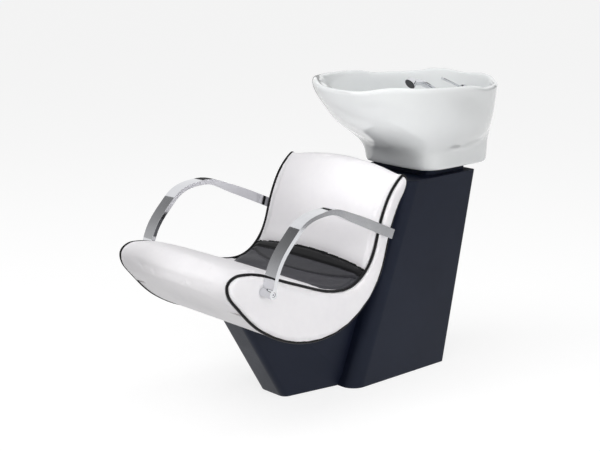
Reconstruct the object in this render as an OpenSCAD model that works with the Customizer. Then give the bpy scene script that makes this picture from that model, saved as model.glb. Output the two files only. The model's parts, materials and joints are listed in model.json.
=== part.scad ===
// Salon wash unit: an upholstered seat on a moulded base, with a tilting ceramic basin.
// Millimetres. +Z is up, the sitter faces -Y, and +X is the sitter's left.
// The origin is on the floor, at the centre of the four floor anchors.

/* [Seat] */
// Width of the seat over its side panels
seat_w = 520; // [480:1:560]
// Distance from the front of the seat to the face of the back
seat_depth = 576; // [520:1:620]
// Height of the rounded front edge
seat_front_h = 497; // [470:1:530]
// Height of the crease where the seat meets the back
crook_h = 376; // [350:1:400]
// Height of the lowest line of the underside
belly_h = 241; // [215:1:265]
// Distance from the anchor centre to the face of the back
back_set = 130; // [122:1:142]
// Height of the back at its side panels
back_h = 689; // [665:1:700]
// Distance that the back leans over its height
back_lean = 110; // [80:1:120]
// Thickness of the back at half its height
back_t = 50; // [42:1:60]
// Rise of the middle of the back over its sides
back_crown = 32; // [10:1:36]
// Swell of the pads over their length
pad_crown = 7; // [3:1:10]
// Forward reach of the dark insert at its middle
insert_reach = 150; // [80:1:180]

/* [Upholstery] */
// Thickness of a padded side panel
panel_t = 15; // [12:0.5:20]
// Diameter of the piping
piping_d = 9; // [7:0.5:10]
// Thickness of the moulded plywood seat board
board_t = 12; // [9:0.5:16]
// Thickness of the covered skin under the seat board
skin_t = 3; // [2:0.5:5]

/* [Arms] */
// Height of the top of each arm
arm_h = 645; // [620:1:670]
// Width of the arm bar at the front
arm_w = 45; // [36:1:52]
// Width of the arm bar at its rear end
arm_rear_w = 14; // [10:1:20]
// Thickness of the arm bar at the front
arm_t = 13; // [10:0.5:16]
// Depth of the arm bar at its rear end
arm_rear_t = 30; // [24:1:34]
// Thickness of the spacer behind each rear end
spacer_t = 3; // [2:0.5:5]
// Diameter of the arm bolts
arm_bolt_d = 8; // [6:1:10]

/* [Base] */
// Distance from the anchor centre to the front foot of the pedestal
pedestal_reach = 325; // [300:1:350]
// Width of the pedestal across its flat front
pedestal_w = 120; // [100:1:140]
// Width of the pedestal where it meets the column
pedestal_rear_w = 200; // [180:1:210]
// Wall of the moulded covers
cover_t = 4; // [3:0.5:5]
// Thickness of the steel floor plate
plate_t = 8; // [6:1:10]
// Spacing of the floor anchors across the unit
anchor_x = 120; // [114:1:130]
// Spacing of the floor anchors along the unit
anchor_y = 400; // [360:1:430]
// Diameter of the floor anchor holes
anchor_d = 11; // [9:0.5:13]

/* [Column] */
// Width of the column at the floor
column_w = 316; // [300:1:330]
// Distance from the anchor centre to the front foot of the column
column_front = 128; // [120:1:135]
// Distance from the anchor centre to the rear foot of the column
column_rear = 295; // [285:1:310]
// Height of the column cover
column_h = 632; // [620:1:636]
// Distance that the column front leans back over its height
front_rake = 240; // [225:1:250]
// Distance that the column rear leans back over its height
rear_rake = 133; // [115:1:140]
// Radius of the round front corners
column_r = 48; // [36:1:60]
// Width of the access panel
access_w = 220; // [190:1:240]
// Height of the access panel along its slope
access_h = 430; // [380:1:460]

/* [Basin] */
// Width of the basin at its rim
basin_w = 530; // [510:1:550]
// Length of the basin at its rim
basin_l = 613; // [595:1:625]
// Height of the rim
rim_h = 930; // [915:1:945]
// Distance from the anchor centre to the rear of the rim
basin_rear = 550; // [540:1:560]
// Depth of the bowl under the rim
bowl_depth = 188; // [175:1:195]
// Wall of the ceramic
ceramic_t = 14; // [12:0.5:16]
// Width of the ceramic foot
foot_w = 320; // [312:1:330]
// Length of the ceramic foot
foot_l = 324; // [316:1:332]
// Gap between the ceramic foot and the column
foot_gap = 18; // [15:1:22]
// Depth of the tap ledge under the rim
ledge_drop = 90; // [80:1:96]
// Inward scoop of the front rim at the neck
neck_scoop = 20; // [5:1:30]
// Diameter of the drain hole in the ceramic
drain_hole_d = 52; // [50:1:56]

/* [Tilt] */
// Distance of the tilt axis under the bowl floor
pivot_h = 50; // [46:1:54]
// Distance from the anchor centre to the tilt axis
pivot_y = 300; // [294:1:306]
// Diameter of the pivot pins
pivot_d = 12; // [10:1:14]
// Wall of the nylon bushes
bush_t = 3; // [2:0.5:4]
// Thickness of the tilt bracket steel
bracket_t = 6; // [5:0.5:7]

/* [Drain] */
// Outer diameter of the waste tail
tail_d = 40; // [36:1:42]
// Length of waste tail free under its nut
tail_free = 44; // [36:1:50]
// Diameter of the drain flange
flange_d = 84; // [76:1:88]

/* [Mixer] */
// Distance of the mixer from the middle of the ledge
mixer_x = 50; // [44:1:56]
// Diameter of the mixer body
mixer_d = 42; // [38:1:46]
// Height of the mixer body over the ledge
mixer_h = 34; // [30:1:44]
// Length of the mixer lever
lever_l = 112; // [90:1:120]
// Diameter of the threaded shank
shank_d = 32; // [31:1:33]
// Diameter of the threaded ends of the inlet tails
nipple_d = 16.6; // [14:0.2:17.4]

/* [Hand shower] */
// Distance of the shower socket from the middle of the ledge
shower_x = 38; // [34:1:44]
// Outer diameter of the socket under the ledge
socket_d = 26; // [24:1:30]
// Diameter of the hand shower stem
stem_d = 18; // [15:1:19]
// Diameter of the spray head
head_d = 42; // [38:1:48]

/* [Hidden] */
$fn = 48;

// Clearances: between solids that touch softly, between fitted plates, and of a running fit
seat_gap = 0.3;
plate_gap = 1;
run_gap = 0.05;

// Small curve helpers
function mix(a, b, t) = a + (b - a) * t;
function clamp01(t) = max(0, min(1, t));
function smooth(t) = let(c = clamp01(t)) c * c * (3 - 2 * c);
function heading(a) = [cos(a), sin(a)];
function signed_pow(v, e) = sign(v) * pow(abs(v), e);

// Point at t, from 0 to 1, of the smooth curve between two knots [y, z, heading]
pull = 0.36;
function curve(k0, k1, t) =
  let(p0 = [k0[0], k0[1]], p3 = [k1[0], k1[1]], reach = pull * norm(p3 - p0),
    p1 = p0 + reach * heading(k0[2]), p2 = p3 - reach * heading(k1[2]), u = 1 - t)
  u * u * u * p0 + 3 * u * u * t * p1 + 3 * u * t * t * p2 + t * t * t * p3;

// Point at v along a chain of knots, where each stretch between knots counts 1
function chain(knots, v) =
  let(i = min(len(knots) - 2, floor(v))) curve(knots[i], knots[i + 1], v - i);
function left_of(knots, v) =
  let(e = 0.02, a = chain(knots, max(0, v - e)), b = chain(knots, min(len(knots) - 1, v + e)),
    d = (b - a) / norm(b - a))
  [-d[1], d[0]];
function beside(knots, v, off) = chain(knots, v) + off * left_of(knots, v);

// Side outline of the seat: two chains of eight knots from the nose to the tip of the back
back_y = -back_set;
nose_y = back_y - seat_depth;
crook_y = back_y - 128;
tip_y = back_y + back_lean + 20;
seat_mid_y = mix(nose_y + 45, crook_y, 0.5);
top_line = [
  [nose_y, seat_front_h - 31, 90],
  [nose_y + 45, seat_front_h, 0],
  [seat_mid_y, mix(seat_front_h, crook_h, 0.52), -19],
  [crook_y, crook_h, 0],
  [back_y, mix(crook_h, back_h, 0.35), 75],
  [back_y + 0.39 * back_lean, mix(crook_h, back_h, 0.744), 63],
  [back_y + back_lean, back_h - 2, 36],
  [tip_y, back_h - 20, -92]];
under_line = [
  [nose_y, seat_front_h - 31, -90],
  [nose_y + 43, mix(belly_h, seat_front_h, 0.6), -50],
  [nose_y + 129, mix(belly_h, seat_front_h, 0.28), -34],
  [crook_y - 95, belly_h, 0],
  [back_y + 13, crook_h + 2, 59],
  [back_y + back_t + 6, mix(crook_h, back_h, 0.4), 73],
  [back_y + back_t + 42, mix(crook_h, back_h, 0.7), 64],
  [tip_y, back_h - 20, 88]];
line_end = len(top_line) - 1;

// Closed outline of the seat, drawn in by off, with n steps on each stretch
function outline(n, off) = concat(
  [for (i = [0 : n * line_end]) beside(top_line, i / n, -off)],
  [for (i = [n * line_end - 1 : -1 : 1]) beside(under_line, i / n, off)]);

// Extrudes a drawing of [y, z] from x0 to x1
module along_x(x0, x1) {
  translate([x0, 0, 0]) rotate([90, 0, 90]) linear_extrude(x1 - x0) children();
}
module mirrored_pair() {
  children();
  mirror([1, 0, 0]) children();
}
// Bar along X
module rod_x(x0, x1, d) {
  translate([x0, 0, 0]) rotate([0, 90, 0]) cylinder(h = x1 - x0, d = d);
}
module tube(h, d, hole) {
  difference() {
    cylinder(h = h, d = d);
    translate([0, 0, -1]) cylinder(h = h + 2, d = hole);
  }
}

// Triangles that join n rings of m points. The last strip is cut the other way, so that
// two pads that meet there have matching end faces.
function ring_faces(n, m) = [
  for (i = [0 : n - 2]) for (j = [0 : m - 1])
    let(a = i * m + j, b = i * m + (j + 1) % m, c = b + m, d = a + m)
    each (j == m - 1 ? [[a, b, d], [b, c, d]] : [[a, b, c], [a, c, d]])];
// The same when the rings also close on themselves, seen from the other side
function loop_faces(n, m) = [
  for (i = [0 : n - 1]) for (j = [0 : m - 1])
    let(a = i * m + j, b = i * m + (j + 1) % m, k = ((i + 1) % n) * m)
    each [[a, k + (j + 1) % m, b], [a, k + j, k + (j + 1) % m]]];
// Triangles that close a ring made of an outer and an inner chain, from point base on
function strip_cap(base, m, flip) = [
  for (j = [0 : m / 2 - 2])
    let(a = base + j, b = base + j + 1, c = base + m - 2 - j, d = base + m - 1 - j)
    each (flip ? [[a, c, b], [a, d, c]] : [[a, b, c], [a, c, d]])];

// Axis of the drain, levels of the bowl floor, and the tilt axis
drain_y = pivot_y + 10;
bowl_floor = rim_h - bowl_depth;
bowl_under = bowl_floor - ceramic_t;
tilt_z = bowl_floor - pivot_h;

// Floor plate

plate_inset = cover_t + 5;
plate_corner = 12;
neck_half = pedestal_rear_w / 2 - 18;
plumbing_w = 130;
plumbing_l = 150;
plumbing_y = mix(-column_front, column_rear, 0.42);
// Block centred on Z with round upright corners
module round_block(w, l, r, h) {
  translate([-w / 2 + r, -l / 2, 0]) cube([w - 2 * r, l, h]);
  translate([-w / 2, -l / 2 + r, 0]) cube([w, l - 2 * r, h]);
  for (sx = [-1, 1], sy = [-1, 1])
    translate([sx * (w / 2 - r), sy * (l / 2 - r), 0]) cylinder(h = h, r = r);
}
module floor_plate() {
  color("dimgray") difference() {
    linear_extrude(plate_t) union() {
      translate([-column_w / 2 + plate_inset, column_r - column_front])
        square([column_w - 2 * plate_inset, column_front + column_rear - column_r - plate_inset]);
      translate([-column_w / 2 + column_r, -column_front + plate_inset])
        square([column_w - 2 * column_r, column_r]);
      for (sx = [-1, 1]) translate([sx * (column_w / 2 - column_r), column_r - column_front])
        circle(r = column_r - plate_inset);
      for (sx = [-1, 1]) polygon([
        [0, -pedestal_reach + plate_inset],
        [sx * (pedestal_w / 2 - plate_inset - plate_corner), -pedestal_reach + plate_inset],
        [sx * (pedestal_w / 2 - plate_inset), -pedestal_reach + plate_inset + plate_corner],
        [sx * neck_half, -column_front + plate_inset + 1],
        [0, -column_front + plate_inset + 1]]);
    }
    for (sx = [-1, 1], sy = [-1, 1])
      translate([sx * anchor_x / 2, sy * anchor_y / 2, -1]) cylinder(h = plate_t + 2, d = anchor_d);
    translate([0, plumbing_y, -1]) round_block(plumbing_w, plumbing_l, 20, plate_t + 2);
  }
}

// Column frame: two box posts, a cross tie and the top plate that carries the tilt bracket

post_w = 40;
post_l = 60;
post_wall = 3;
post_x = 100;
post_y = 240;
tie_z = 380;
tie_s = 30;
top_plate_margin = 20;
top_plate_short = 160;
// The frame ends under the top of the cover, and leaves the lugs room to swing
lug_room = 64;
frame_top = min(column_h - cover_t, tilt_z - lug_room);
top_plate_t = 8;
tail_hole_d = tail_d + 24;
module post() {
  difference() {
    translate([-post_w / 2, -post_l / 2, 0]) cube([post_w, post_l, frame_top - plate_t - top_plate_t + 1]);
    translate([-post_w / 2 + post_wall, -post_l / 2 + post_wall, 3])
      cube([post_w - 2 * post_wall, post_l - 2 * post_wall, frame_top - plate_t - top_plate_t - 3]);
  }
}
module column_frame() {
  color("dimgray") {
    for (sx = [-1, 1]) translate([sx * post_x, post_y, plate_t]) post();
    translate([-post_x + post_w / 2 - 1, post_y - tie_s / 2, tie_z])
      cube([2 * post_x - post_w + 2, tie_s, tie_s]);
    difference() {
      translate([0, (column_face(frame_top) + column_back(frame_top)) / 2, frame_top - top_plate_t])
        round_block(column_w - 2 * top_plate_margin, column_back(0) - column_face(0) - top_plate_short,
          10, top_plate_t);
      translate([0, drain_y, frame_top - top_plate_t - 1])
        cylinder(h = top_plate_t + 2, d = tail_hole_d);
      bracket_bolt_places() translate([0, 0, frame_top - top_plate_t - 1])
        cylinder(h = top_plate_t + 2, d = 8.4);
    }
  }
}

// Seat cradle: two rib plates cut to the underside, with a saddle plate between them

rib_x = 42;
rib_t = 6;
saddle_l = 110;
belly_y = crook_y - 95;
cradle_floor_front = -pedestal_reach + plate_inset + 8;
cradle_floor_rear = -column_front - 14;
function under_cut(v0, v1, n, off) = [for (i = [0 : n]) beside(under_line, mix(v0, v1, i / n), off)];
module rib_plate() {
  difference() {
    polygon(concat(
      [[cradle_floor_rear, plate_t], [cradle_floor_front, plate_t]],
      under_cut(2.64, rib_top_v, 32, -rib_seat),
      [[back_y + 90, mix(crook_h, back_h, 0.27)], [back_y + 60, crook_h - 40],
        [cradle_floor_rear - 5, rib_shoulder_h]]));
    translate([mix(cradle_floor_front, cradle_floor_rear, 0.52), rib_hole_h]) circle(d = rib_hole_d);
  }
}
// The ribs bear on the under skin of the seat, and end under the deck of the front cover
rib_seat = 2 * seat_gap;
rib_top_v = 4.72;
rib_shoulder_h = 200;
rib_hole_h = 110;
rib_hole_d = 90;
upper_saddle_l = 50;
module seat_cradle() {
  color("dimgray") difference() {
    union() {
      mirrored_pair() along_x(rib_x, rib_x + rib_t) rib_plate();
      translate([-rib_x, belly_y - saddle_l / 2, belly_h - 14])
        cube([2 * rib_x, saddle_l, bracket_t]);
      translate([0, upper_bolt[0], upper_bolt[1]]) rotate([upper_tilt, 0, 0])
        translate([-rib_x, -upper_saddle_l / 2, -14]) cube([2 * rib_x, upper_saddle_l, bracket_t]);
    }
    for (sx = [-1, 1]) {
      translate([sx * 22, belly_y, belly_h - 20]) cylinder(h = 20, d = 9);
      translate([sx * 22, upper_bolt[0], upper_bolt[1]]) rotate([upper_tilt, 0, 0])
        translate([0, 0, -20]) cylinder(h = 20, d = 9);
    }
  }
}
// Upper seat bolts stand square to the lower back
upper_v = 4.45;
upper_bolt = chain(under_line, upper_v);
upper_tilt = let(n = left_of(under_line, upper_v)) atan2(n[1], n[0]) - 90;

module cradle_bolt() {
  translate([0, 0, -19.5]) cylinder(h = 5.5, d = 14);
  translate([0, 0, -14 + bracket_t + 0.01]) cylinder(h = 13.5 - bracket_t - seat_gap, d = 12);
  translate([0, 0, -15]) cylinder(h = 15 + skin_t + board_t - 1, d = 8);
}
module cradle_bolts() {
  color("silver") for (sx = [-1, 1]) {
    translate([sx * 22, belly_y, belly_h]) cradle_bolt();
    translate([sx * 22, upper_bolt[0], upper_bolt[1]]) rotate([upper_tilt, 0, 0]) cradle_bolt();
  }
}

// Moulded covers of the base

cover_foot = 1.5;
foot_rear = basin_rear - 30;
foot_front = foot_rear - foot_l;
pedestal_top = mix(crook_h, back_h, 0.33);
pedestal_rake = 0.6;
function column_face(z) = -column_front + front_rake * z / column_h;
function column_back(z) = column_rear + rear_rake * z / column_h;

// Plan of the pedestal at a height, drawn in by wall
module pedestal_plan(z, wall) {
  front = -pedestal_reach - pedestal_rake * z + wall;
  rear = column_face(z) + 60;
  half = pedestal_w / 2 - wall;
  rear_half = pedestal_rear_w / 2 - wall;
  corner = 24 - wall;
  translate([0, 0, z]) linear_extrude(0.01) hull() {
    for (sx = [-1, 1]) translate([sx * (half - corner), front + corner]) circle(r = corner, $fn = 32);
    translate([-rear_half, rear]) square([2 * rear_half, 1]);
  }
}
// The space that the column fills, made larger by gap
module column_block(gap) {
  along_x(-column_w, column_w) polygon([
    [column_face(-40) - gap, -40], [column_face(column_h) - gap, column_h],
    [column_back(column_h), column_h], [column_back(-40), -40]]);
}
module front_cover() {
  color("#3d4350") difference() {
    hull() {
      pedestal_plan(cover_foot, 0);
      pedestal_plan(pedestal_top, 0);
    }
    hull() {
      pedestal_plan(-1, cover_t);
      pedestal_plan(pedestal_top - cover_t, cover_t);
    }
    column_block(plate_gap);
    // all above the underside of the seat goes
    along_x(-seat_w, seat_w) polygon(concat(under_cut(0, line_end, 70, -plate_gap),
      [[tip_y, 2 * back_h], [nose_y - seat_front_h, 2 * back_h], [nose_y - seat_front_h, seat_front_h]]));
  }
}

// Plan of the column at a height, drawn in by wall
module column_plan(z, wall) {
  half = column_w / 2 - wall;
  front = column_face(z) + wall;
  rear = column_back(z) - wall;
  big = max(2, column_r - wall);
  small = max(2, 12 - wall);
  translate([0, 0, z]) linear_extrude(0.01) hull() {
    for (sx = [-1, 1]) {
      translate([sx * (half - big), front + big]) circle(r = big, $fn = 48);
      translate([sx * (half - small), rear - small]) circle(r = small, $fn = 24);
    }
  }
}
collar_w = foot_w - 68;
collar_front = foot_front + 34;
collar_rear = column_back(column_h) - 14;
collar_top = max(column_h + 2, min(column_h + foot_gap + 10, bowl_under - 12));
// Block of the collar that stands up inside the foot of the basin
module collar_block(wall, z0, z1) {
  translate([0, (collar_front + collar_rear) / 2, z0])
    round_block(collar_w - 2 * wall, collar_rear - collar_front - 2 * wall, 16 - wall, z1 - z0);
}
// Places its children on the sloping rear face, with Z out of it and Y up the slope
rear_slope = atan(rear_rake / column_h);
module on_rear_face(up) {
  translate([0, column_rear, 0]) rotate([90 - rear_slope, 0, 0]) rotate([0, 180, 0])
    translate([0, up, 0]) children();
}
access_low = 60;
lip = 14;
screw_in = 9;
module access_corners() {
  for (sx = [-1, 1], sy = [0, 1])
    translate([sx * (access_w / 2 - screw_in), mix(screw_in, access_h - screw_in, sy), 0]) children();
}
module column_cover() {
  color("#343a47") difference() {
    union() {
      hull() {
        column_plan(cover_foot, 0);
        column_plan(column_h, 0);
      }
      collar_block(0, column_h - cover_t, collar_top);
    }
    hull() {
      column_plan(-1, cover_t);
      column_plan(column_h - cover_t, cover_t);
    }
    collar_block(cover_t, column_h - cover_t - 1, collar_top + 1);
    // slot that the floor plate passes through, behind the pedestal
    translate([-neck_half - 2, -column_front - 10, -1])
      cube([2 * neck_half + 4, 30, plate_t + 1 + plate_gap]);
    on_rear_face(access_low) translate([-access_w / 2 + lip, lip, -40])
      cube([access_w - 2 * lip, access_h - 2 * lip, 60]);
    on_rear_face(access_low) translate([-access_w / 2 - plate_gap, -plate_gap, -2])
      cube([access_w + 2 * plate_gap, access_h + 2 * plate_gap, 20]);
    on_rear_face(access_low) access_corners() translate([0, 0, -10]) cylinder(h = 20, d = 3);
  }
}
module access_panel() {
  color("#343a47") on_rear_face(access_low) difference() {
    translate([-access_w / 2, 0, -2]) cube([access_w, access_h, 2.6]);
    access_corners() translate([0, 0, -3]) cylinder(h = 5, d = 4.4);
  }
}
module access_screws() {
  color("silver") on_rear_face(access_low) access_corners() {
    translate([0, 0, -8]) cylinder(h = 8.7, d = 2.9);
    translate([0, 0, 0.6]) cylinder(h = 1.8, d1 = 8, d2 = 6);
  }
}

// Seat board and its covered skin, bent to the underside

board_half = seat_w / 2 - panel_t - seat_gap;
board_v0 = 1.25;
board_v1 = 6.5;
// Band between two offsets of the underside
module under_band(off0, off1) {
  n = 60;
  along_x(-board_half, board_half) polygon(concat(
    under_cut(board_v0, board_v1, n, off0),
    [for (i = [n : -1 : 0]) beside(under_line, mix(board_v0, board_v1, i / n), off1)]));
}
module seat_board() {
  color("burlywood") difference() {
    under_band(skin_t + seat_gap, skin_t + board_t);
    bolt_holes();
  }
}
module under_skin() {
  color("whitesmoke") difference() {
    under_band(0, skin_t);
    bolt_holes();
  }
}
module bolt_holes() {
  for (sx = [-1, 1]) {
    translate([sx * 22, belly_y, belly_h - 10]) cylinder(h = 40, d = 8.6);
    translate([sx * 22, upper_bolt[0], upper_bolt[1]]) rotate([upper_tilt, 0, 0])
      translate([0, 0, -10]) cylinder(h = 40, d = 8.6);
  }
}

// Pads: each is a loft of rings across the seat. A ring runs along the face of the pad
// and comes back along the seat board.

pad_half = board_half - seat_gap;
pad_stations = [-1, -0.97, -0.88, -0.7, -0.4, 0, 0.4, 0.7, 0.88, 0.97, 1];
pad_base = skin_t + board_t + 1;
board_end_gap = 0.02;
edge_drop = 3;
// Swell of a pad at the fraction f of its half width
function swell(f) = pad_crown * (1 - f * f) - edge_drop * pow(abs(f), 10);
// Rise of the top of the back at the fraction f
function top_rise(f, v) = back_crown * (1 - f * f) * smooth((v - 5.2) / 1.5);
// Front and rear edges of the dark insert, in stretches along the top line
function insert_front(f) = 3 - insert_reach / (crook_y - seat_mid_y) * (1 - f * f);
function insert_rear(f) = 3.6 + 0.12 * (1 - f * f);

// Point on the face of a pad, at the fraction f, v stretches along the top line
function face_point(f, v) = beside(top_line, v, swell(f)) + [0, top_rise(f, v)];
function wrap_point(f, v, rise) = beside(under_line, v, -max(0, swell(f)) * 0.6) + [0, rise];
function board_point(v) = beside(under_line, v, pad_base);

// Rings of a pad that only lies on the board, from va(f) to vb(f)
function plain_ring(f, va, vb, n, groove) = concat(
  [for (j = [0 : n]) let(v = mix(va, vb, j / n),
      e = min(j, n - j) == 0 ? groove : 0) face_point(f, v) - e * left_of(top_line, v)],
  [for (j = [n : -1 : 0]) board_point(mix(va, vb, j / n))]);
seam = 2.5;
function pad_points(rings) = [
  for (i = [0 : len(rings) - 1]) for (p = rings[i]) [pad_half * pad_stations[i], p[0], p[1]]];
module pad(rings) {
  m = len(rings[0]);
  polyhedron(points = pad_points(rings), faces = concat(
    ring_faces(len(rings), m), strip_cap(0, m, true),
    strip_cap((len(rings) - 1) * m, m, false)));
}
joint_gap = 0.005;
function nose_ring(f) = let(n1 = 5, n2 = 17, vb = insert_front(f) - joint_gap,
    v0 = board_v0 - board_end_gap) concat(
  [for (j = [0 : n1 - 1]) wrap_point(f, (v0 - 0.03) * (1 - j / n1), 0)],
  [for (j = [0 : n2]) let(v = vb * j / n2)
    face_point(f, v) - (j == n2 ? seam : 0) * left_of(top_line, v)],
  [for (j = [n2 : -1 : 2]) board_point(mix(v0, vb, pow(j / n2, 1.3)))],
  [for (j = [n1 + 1 : -1 : 0]) beside(under_line, v0, pad_base * mix(0.25, 1, j / (n1 + 1)))]);
module seat_cushion() {
  color("white") pad([for (f = pad_stations) nose_ring(f)]);
}
module crook_insert() {
  color("#26262a") pad([for (f = pad_stations)
    plain_ring(f, insert_front(f) + joint_gap, insert_rear(f) - joint_gap, 9, seam)]);
}
// The back pad wraps over the top of the board
function back_ring(f) = let(n2 = 14, n1 = 3, va = insert_rear(f) + joint_gap,
    v1 = board_v1 + board_end_gap) concat(
  [for (j = [0 : n2]) let(v = mix(va, line_end, j / n2))
    face_point(f, v) - (j == 0 ? seam : 0) * left_of(top_line, v)],
  [for (j = [1 : n1]) let(v = mix(line_end, v1 + 0.03, j / n1))
    wrap_point(f, v, top_rise(f, line_end) * (1 - j / n1))],
  [for (j = [0 : n1 + 1]) beside(under_line, v1, pad_base * mix(0.25, 1, j / (n1 + 1)))],
  [for (j = [n2 - 2 : -1 : 0]) board_point(mix(va, board_v1 - 0.05, 1 - pow(1 - j / (n2 - 2), 1.9)))]);
module back_cushion() {
  color("white") pad([for (f = pad_stations) back_ring(f)]);
}

// Padded side panels: rings drawn in towards the outer face

panel_rings = [[0, 0], [0.55, 0], [0.85, 2], [1, 6]];
panel_steps = 5;
panel_inner_x = seat_w / 2 - panel_t;
// Outline of a panel, drawn in by extra up to the narrow tip of the back
function panel_off(v, extra) = piping_d / 2 + 1.2 + extra * (1 - smooth((v - 5.1) / 0.9));
function panel_outline(n, extra) = concat(
  [for (i = [0 : n * line_end]) beside(top_line, i / n, -panel_off(i / n, extra))],
  [for (i = [n * line_end - 1 : -1 : 1]) beside(under_line, i / n, panel_off(i / n, extra))]);
module panel_body() {
  loop = 2 * panel_steps * line_end;
  half = panel_steps * line_end;
  points = [for (r = panel_rings) for (p = panel_outline(panel_steps, r[1]))
    [panel_inner_x + panel_t * r[0], p[0], p[1]]];
  last = (len(panel_rings) - 1) * loop;
  polyhedron(points = points, faces = concat(
    ring_faces(len(panel_rings), loop),
    outline_cap(0, loop, half, true), outline_cap(last, loop, half, false)));
}
// Closes an outline by crossing from its top line to its underside
function outline_cap(base, loop, half, flip) = [
  for (j = [0 : half - 1])
    let(a = base + j, b = base + j + 1, c = base + (loop - j - 1) % loop, d = base + (loop - j) % loop)
    each (flip ? cap_pair(a, c, b, d) : cap_pair(b, d, a, c))];
function cap_pair(a, c, b, d) = [for (t = [[a, c, b], [a, d, c]])
  if (t[0] != t[1] && t[1] != t[2] && t[0] != t[2]) t];
module arm_holes() {
  translate([0, foot_bolt[0], foot_bolt[1]]) rod_x(panel_inner_x - 40, seat_w, arm_bolt_d + 0.5);
  translate([0, rear_bolt[0], rear_bolt[1]]) rod_x(panel_inner_x - 40, seat_w, arm_bolt_d + 0.5);
}
module side_panel_left() {
  color("white") difference() {
    panel_body();
    arm_holes();
  }
}
module side_panel_right() {
  color("white") mirror([1, 0, 0]) difference() {
    panel_body();
    arm_holes();
  }
}

// Piping: a round cord swept along the outline, in the corner of pad and panel

piping_steps = 5;
piping_sides = 8;
piping_x = panel_inner_x + piping_d / 2;
function loop_tangent(path, i) =
  let(n = len(path), d = path[(i + 1) % n] - path[(i + n - 1) % n]) d / norm(d);
module piping() {
  path = outline(piping_steps, 0.8);
  n = len(path);
  points = [for (i = [0 : n - 1]) for (j = [0 : piping_sides - 1])
    let(t = loop_tangent(path, i), a = 360 * j / piping_sides, r = piping_d / 2,
      p = path[i] + r * cos(a) * [-t[1], t[0]])
    [piping_x + r * sin(a), p[0], p[1]]];
  polyhedron(points = points, faces = loop_faces(n, piping_sides));
}
module piping_left() {
  color("#1c1c1f") piping();
}
module piping_right() {
  color("#1c1c1f") mirror([1, 0, 0]) piping();
}

// Arms: a flat bar that rises from the panel, bends over and runs down to the back

foot_bolt = [nose_y + 121, seat_front_h - 59];
rear_bolt = [back_y + 36, mix(crook_h, back_h, 0.48)];
arm_crest_y = foot_bolt[0] + 212;
arm_line = [
  [foot_bolt[0] + 2, foot_bolt[1] - 12, 88],
  [foot_bolt[0] + 17, seat_front_h - 4, 70],
  [foot_bolt[0] + 98, arm_h - 46, 46],
  [arm_crest_y, arm_h - 9, 2],
  [mix(arm_crest_y, rear_bolt[0], 0.4), mix(arm_h - 9, rear_bolt[1], 0.32), -22],
  [rear_bolt[0] + 14, rear_bolt[1] - 6, -24]];
arm_steps = 7;
function arm_half(v) = mix(arm_t, arm_rear_t, smooth((v - 2.6) / 2)) / 2;
arm_in_x = seat_w / 2 + spacer_t;
lug_d = 28;
module arm_body() {
  n = arm_steps * (len(arm_line) - 1);
  difference() {
    intersection() {
      union() {
        along_x(arm_in_x, arm_in_x + arm_w) polygon(concat(
          [for (i = [0 : n]) beside(arm_line, i / arm_steps, arm_half(i / arm_steps))],
          [for (i = [n : -1 : 0]) beside(arm_line, i / arm_steps, -arm_half(i / arm_steps))]));
        translate([0, foot_bolt[0], foot_bolt[1]]) rod_x(arm_in_x, arm_in_x + arm_w, lug_d);
      }
      linear_extrude(2 * arm_h) polygon(concat(
        [[arm_in_x, -2000], [arm_in_x + arm_w, -2000]],
        [for (i = [0 : 10]) [arm_in_x + mix(arm_w, arm_rear_w, smooth(i / 10)),
          mix(foot_bolt[0] + 150, rear_bolt[0] - 30, i / 10)]],
        [[arm_in_x + arm_rear_w, 2000], [arm_in_x, 2000]]));
    }
    translate([0, foot_bolt[0], foot_bolt[1]]) {
      rod_x(arm_in_x - 1, arm_in_x + arm_w + 1, arm_bolt_d + 0.5);
      rod_x(arm_in_x + arm_w - 9, arm_in_x + arm_w + 1, arm_bolt_d + 6.5);
    }
    translate([0, rear_bolt[0], rear_bolt[1]])
      rod_x(arm_in_x - 1, arm_in_x + arm_rear_w - 4, arm_bolt_d + 0.5);
  }
}
module arm_left() {
  color("gainsboro") arm_body();
}
module arm_right() {
  color("gainsboro") mirror([1, 0, 0]) arm_body();
}
module arm_foot_bolts() {
  color("silver") mirrored_pair() translate([0, foot_bolt[0], foot_bolt[1]]) {
    rod_x(panel_inner_x + 0.5, arm_in_x + arm_w - 8, arm_bolt_d);
    difference() {
      rod_x(arm_in_x + arm_w - 9 + 0.01, arm_in_x + arm_w - 1.5, arm_bolt_d + 5);
      translate([arm_in_x + arm_w - 6, 0, 0]) rotate([0, 90, 0])
        cylinder(h = 10, d = 0.8 * arm_bolt_d, $fn = 6);
    }
    difference() {
      rod_x(seat_w / 2 + 0.05, arm_in_x - 0.05, lug_d - 6);
      rod_x(seat_w / 2 - 1, arm_in_x + 1, arm_bolt_d);
    }
  }
}
module arm_rear_spacers() {
  color("#1c1c1f") mirrored_pair() translate([0, rear_bolt[0], rear_bolt[1]]) difference() {
    rod_x(seat_w / 2 + 0.05, arm_in_x - 0.05, 24);
    rod_x(seat_w / 2 - 1, arm_in_x + 1, arm_bolt_d + 0.5);
  }
}
module arm_rear_bolts() {
  color("silver") mirrored_pair() translate([0, rear_bolt[0], rear_bolt[1]]) {
    rod_x(panel_inner_x + 0.5, arm_in_x + arm_rear_w - 5, arm_bolt_d);
  }
}

// Tilt bracket: a U plate on the column frame whose two ears hold the bushes

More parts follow.
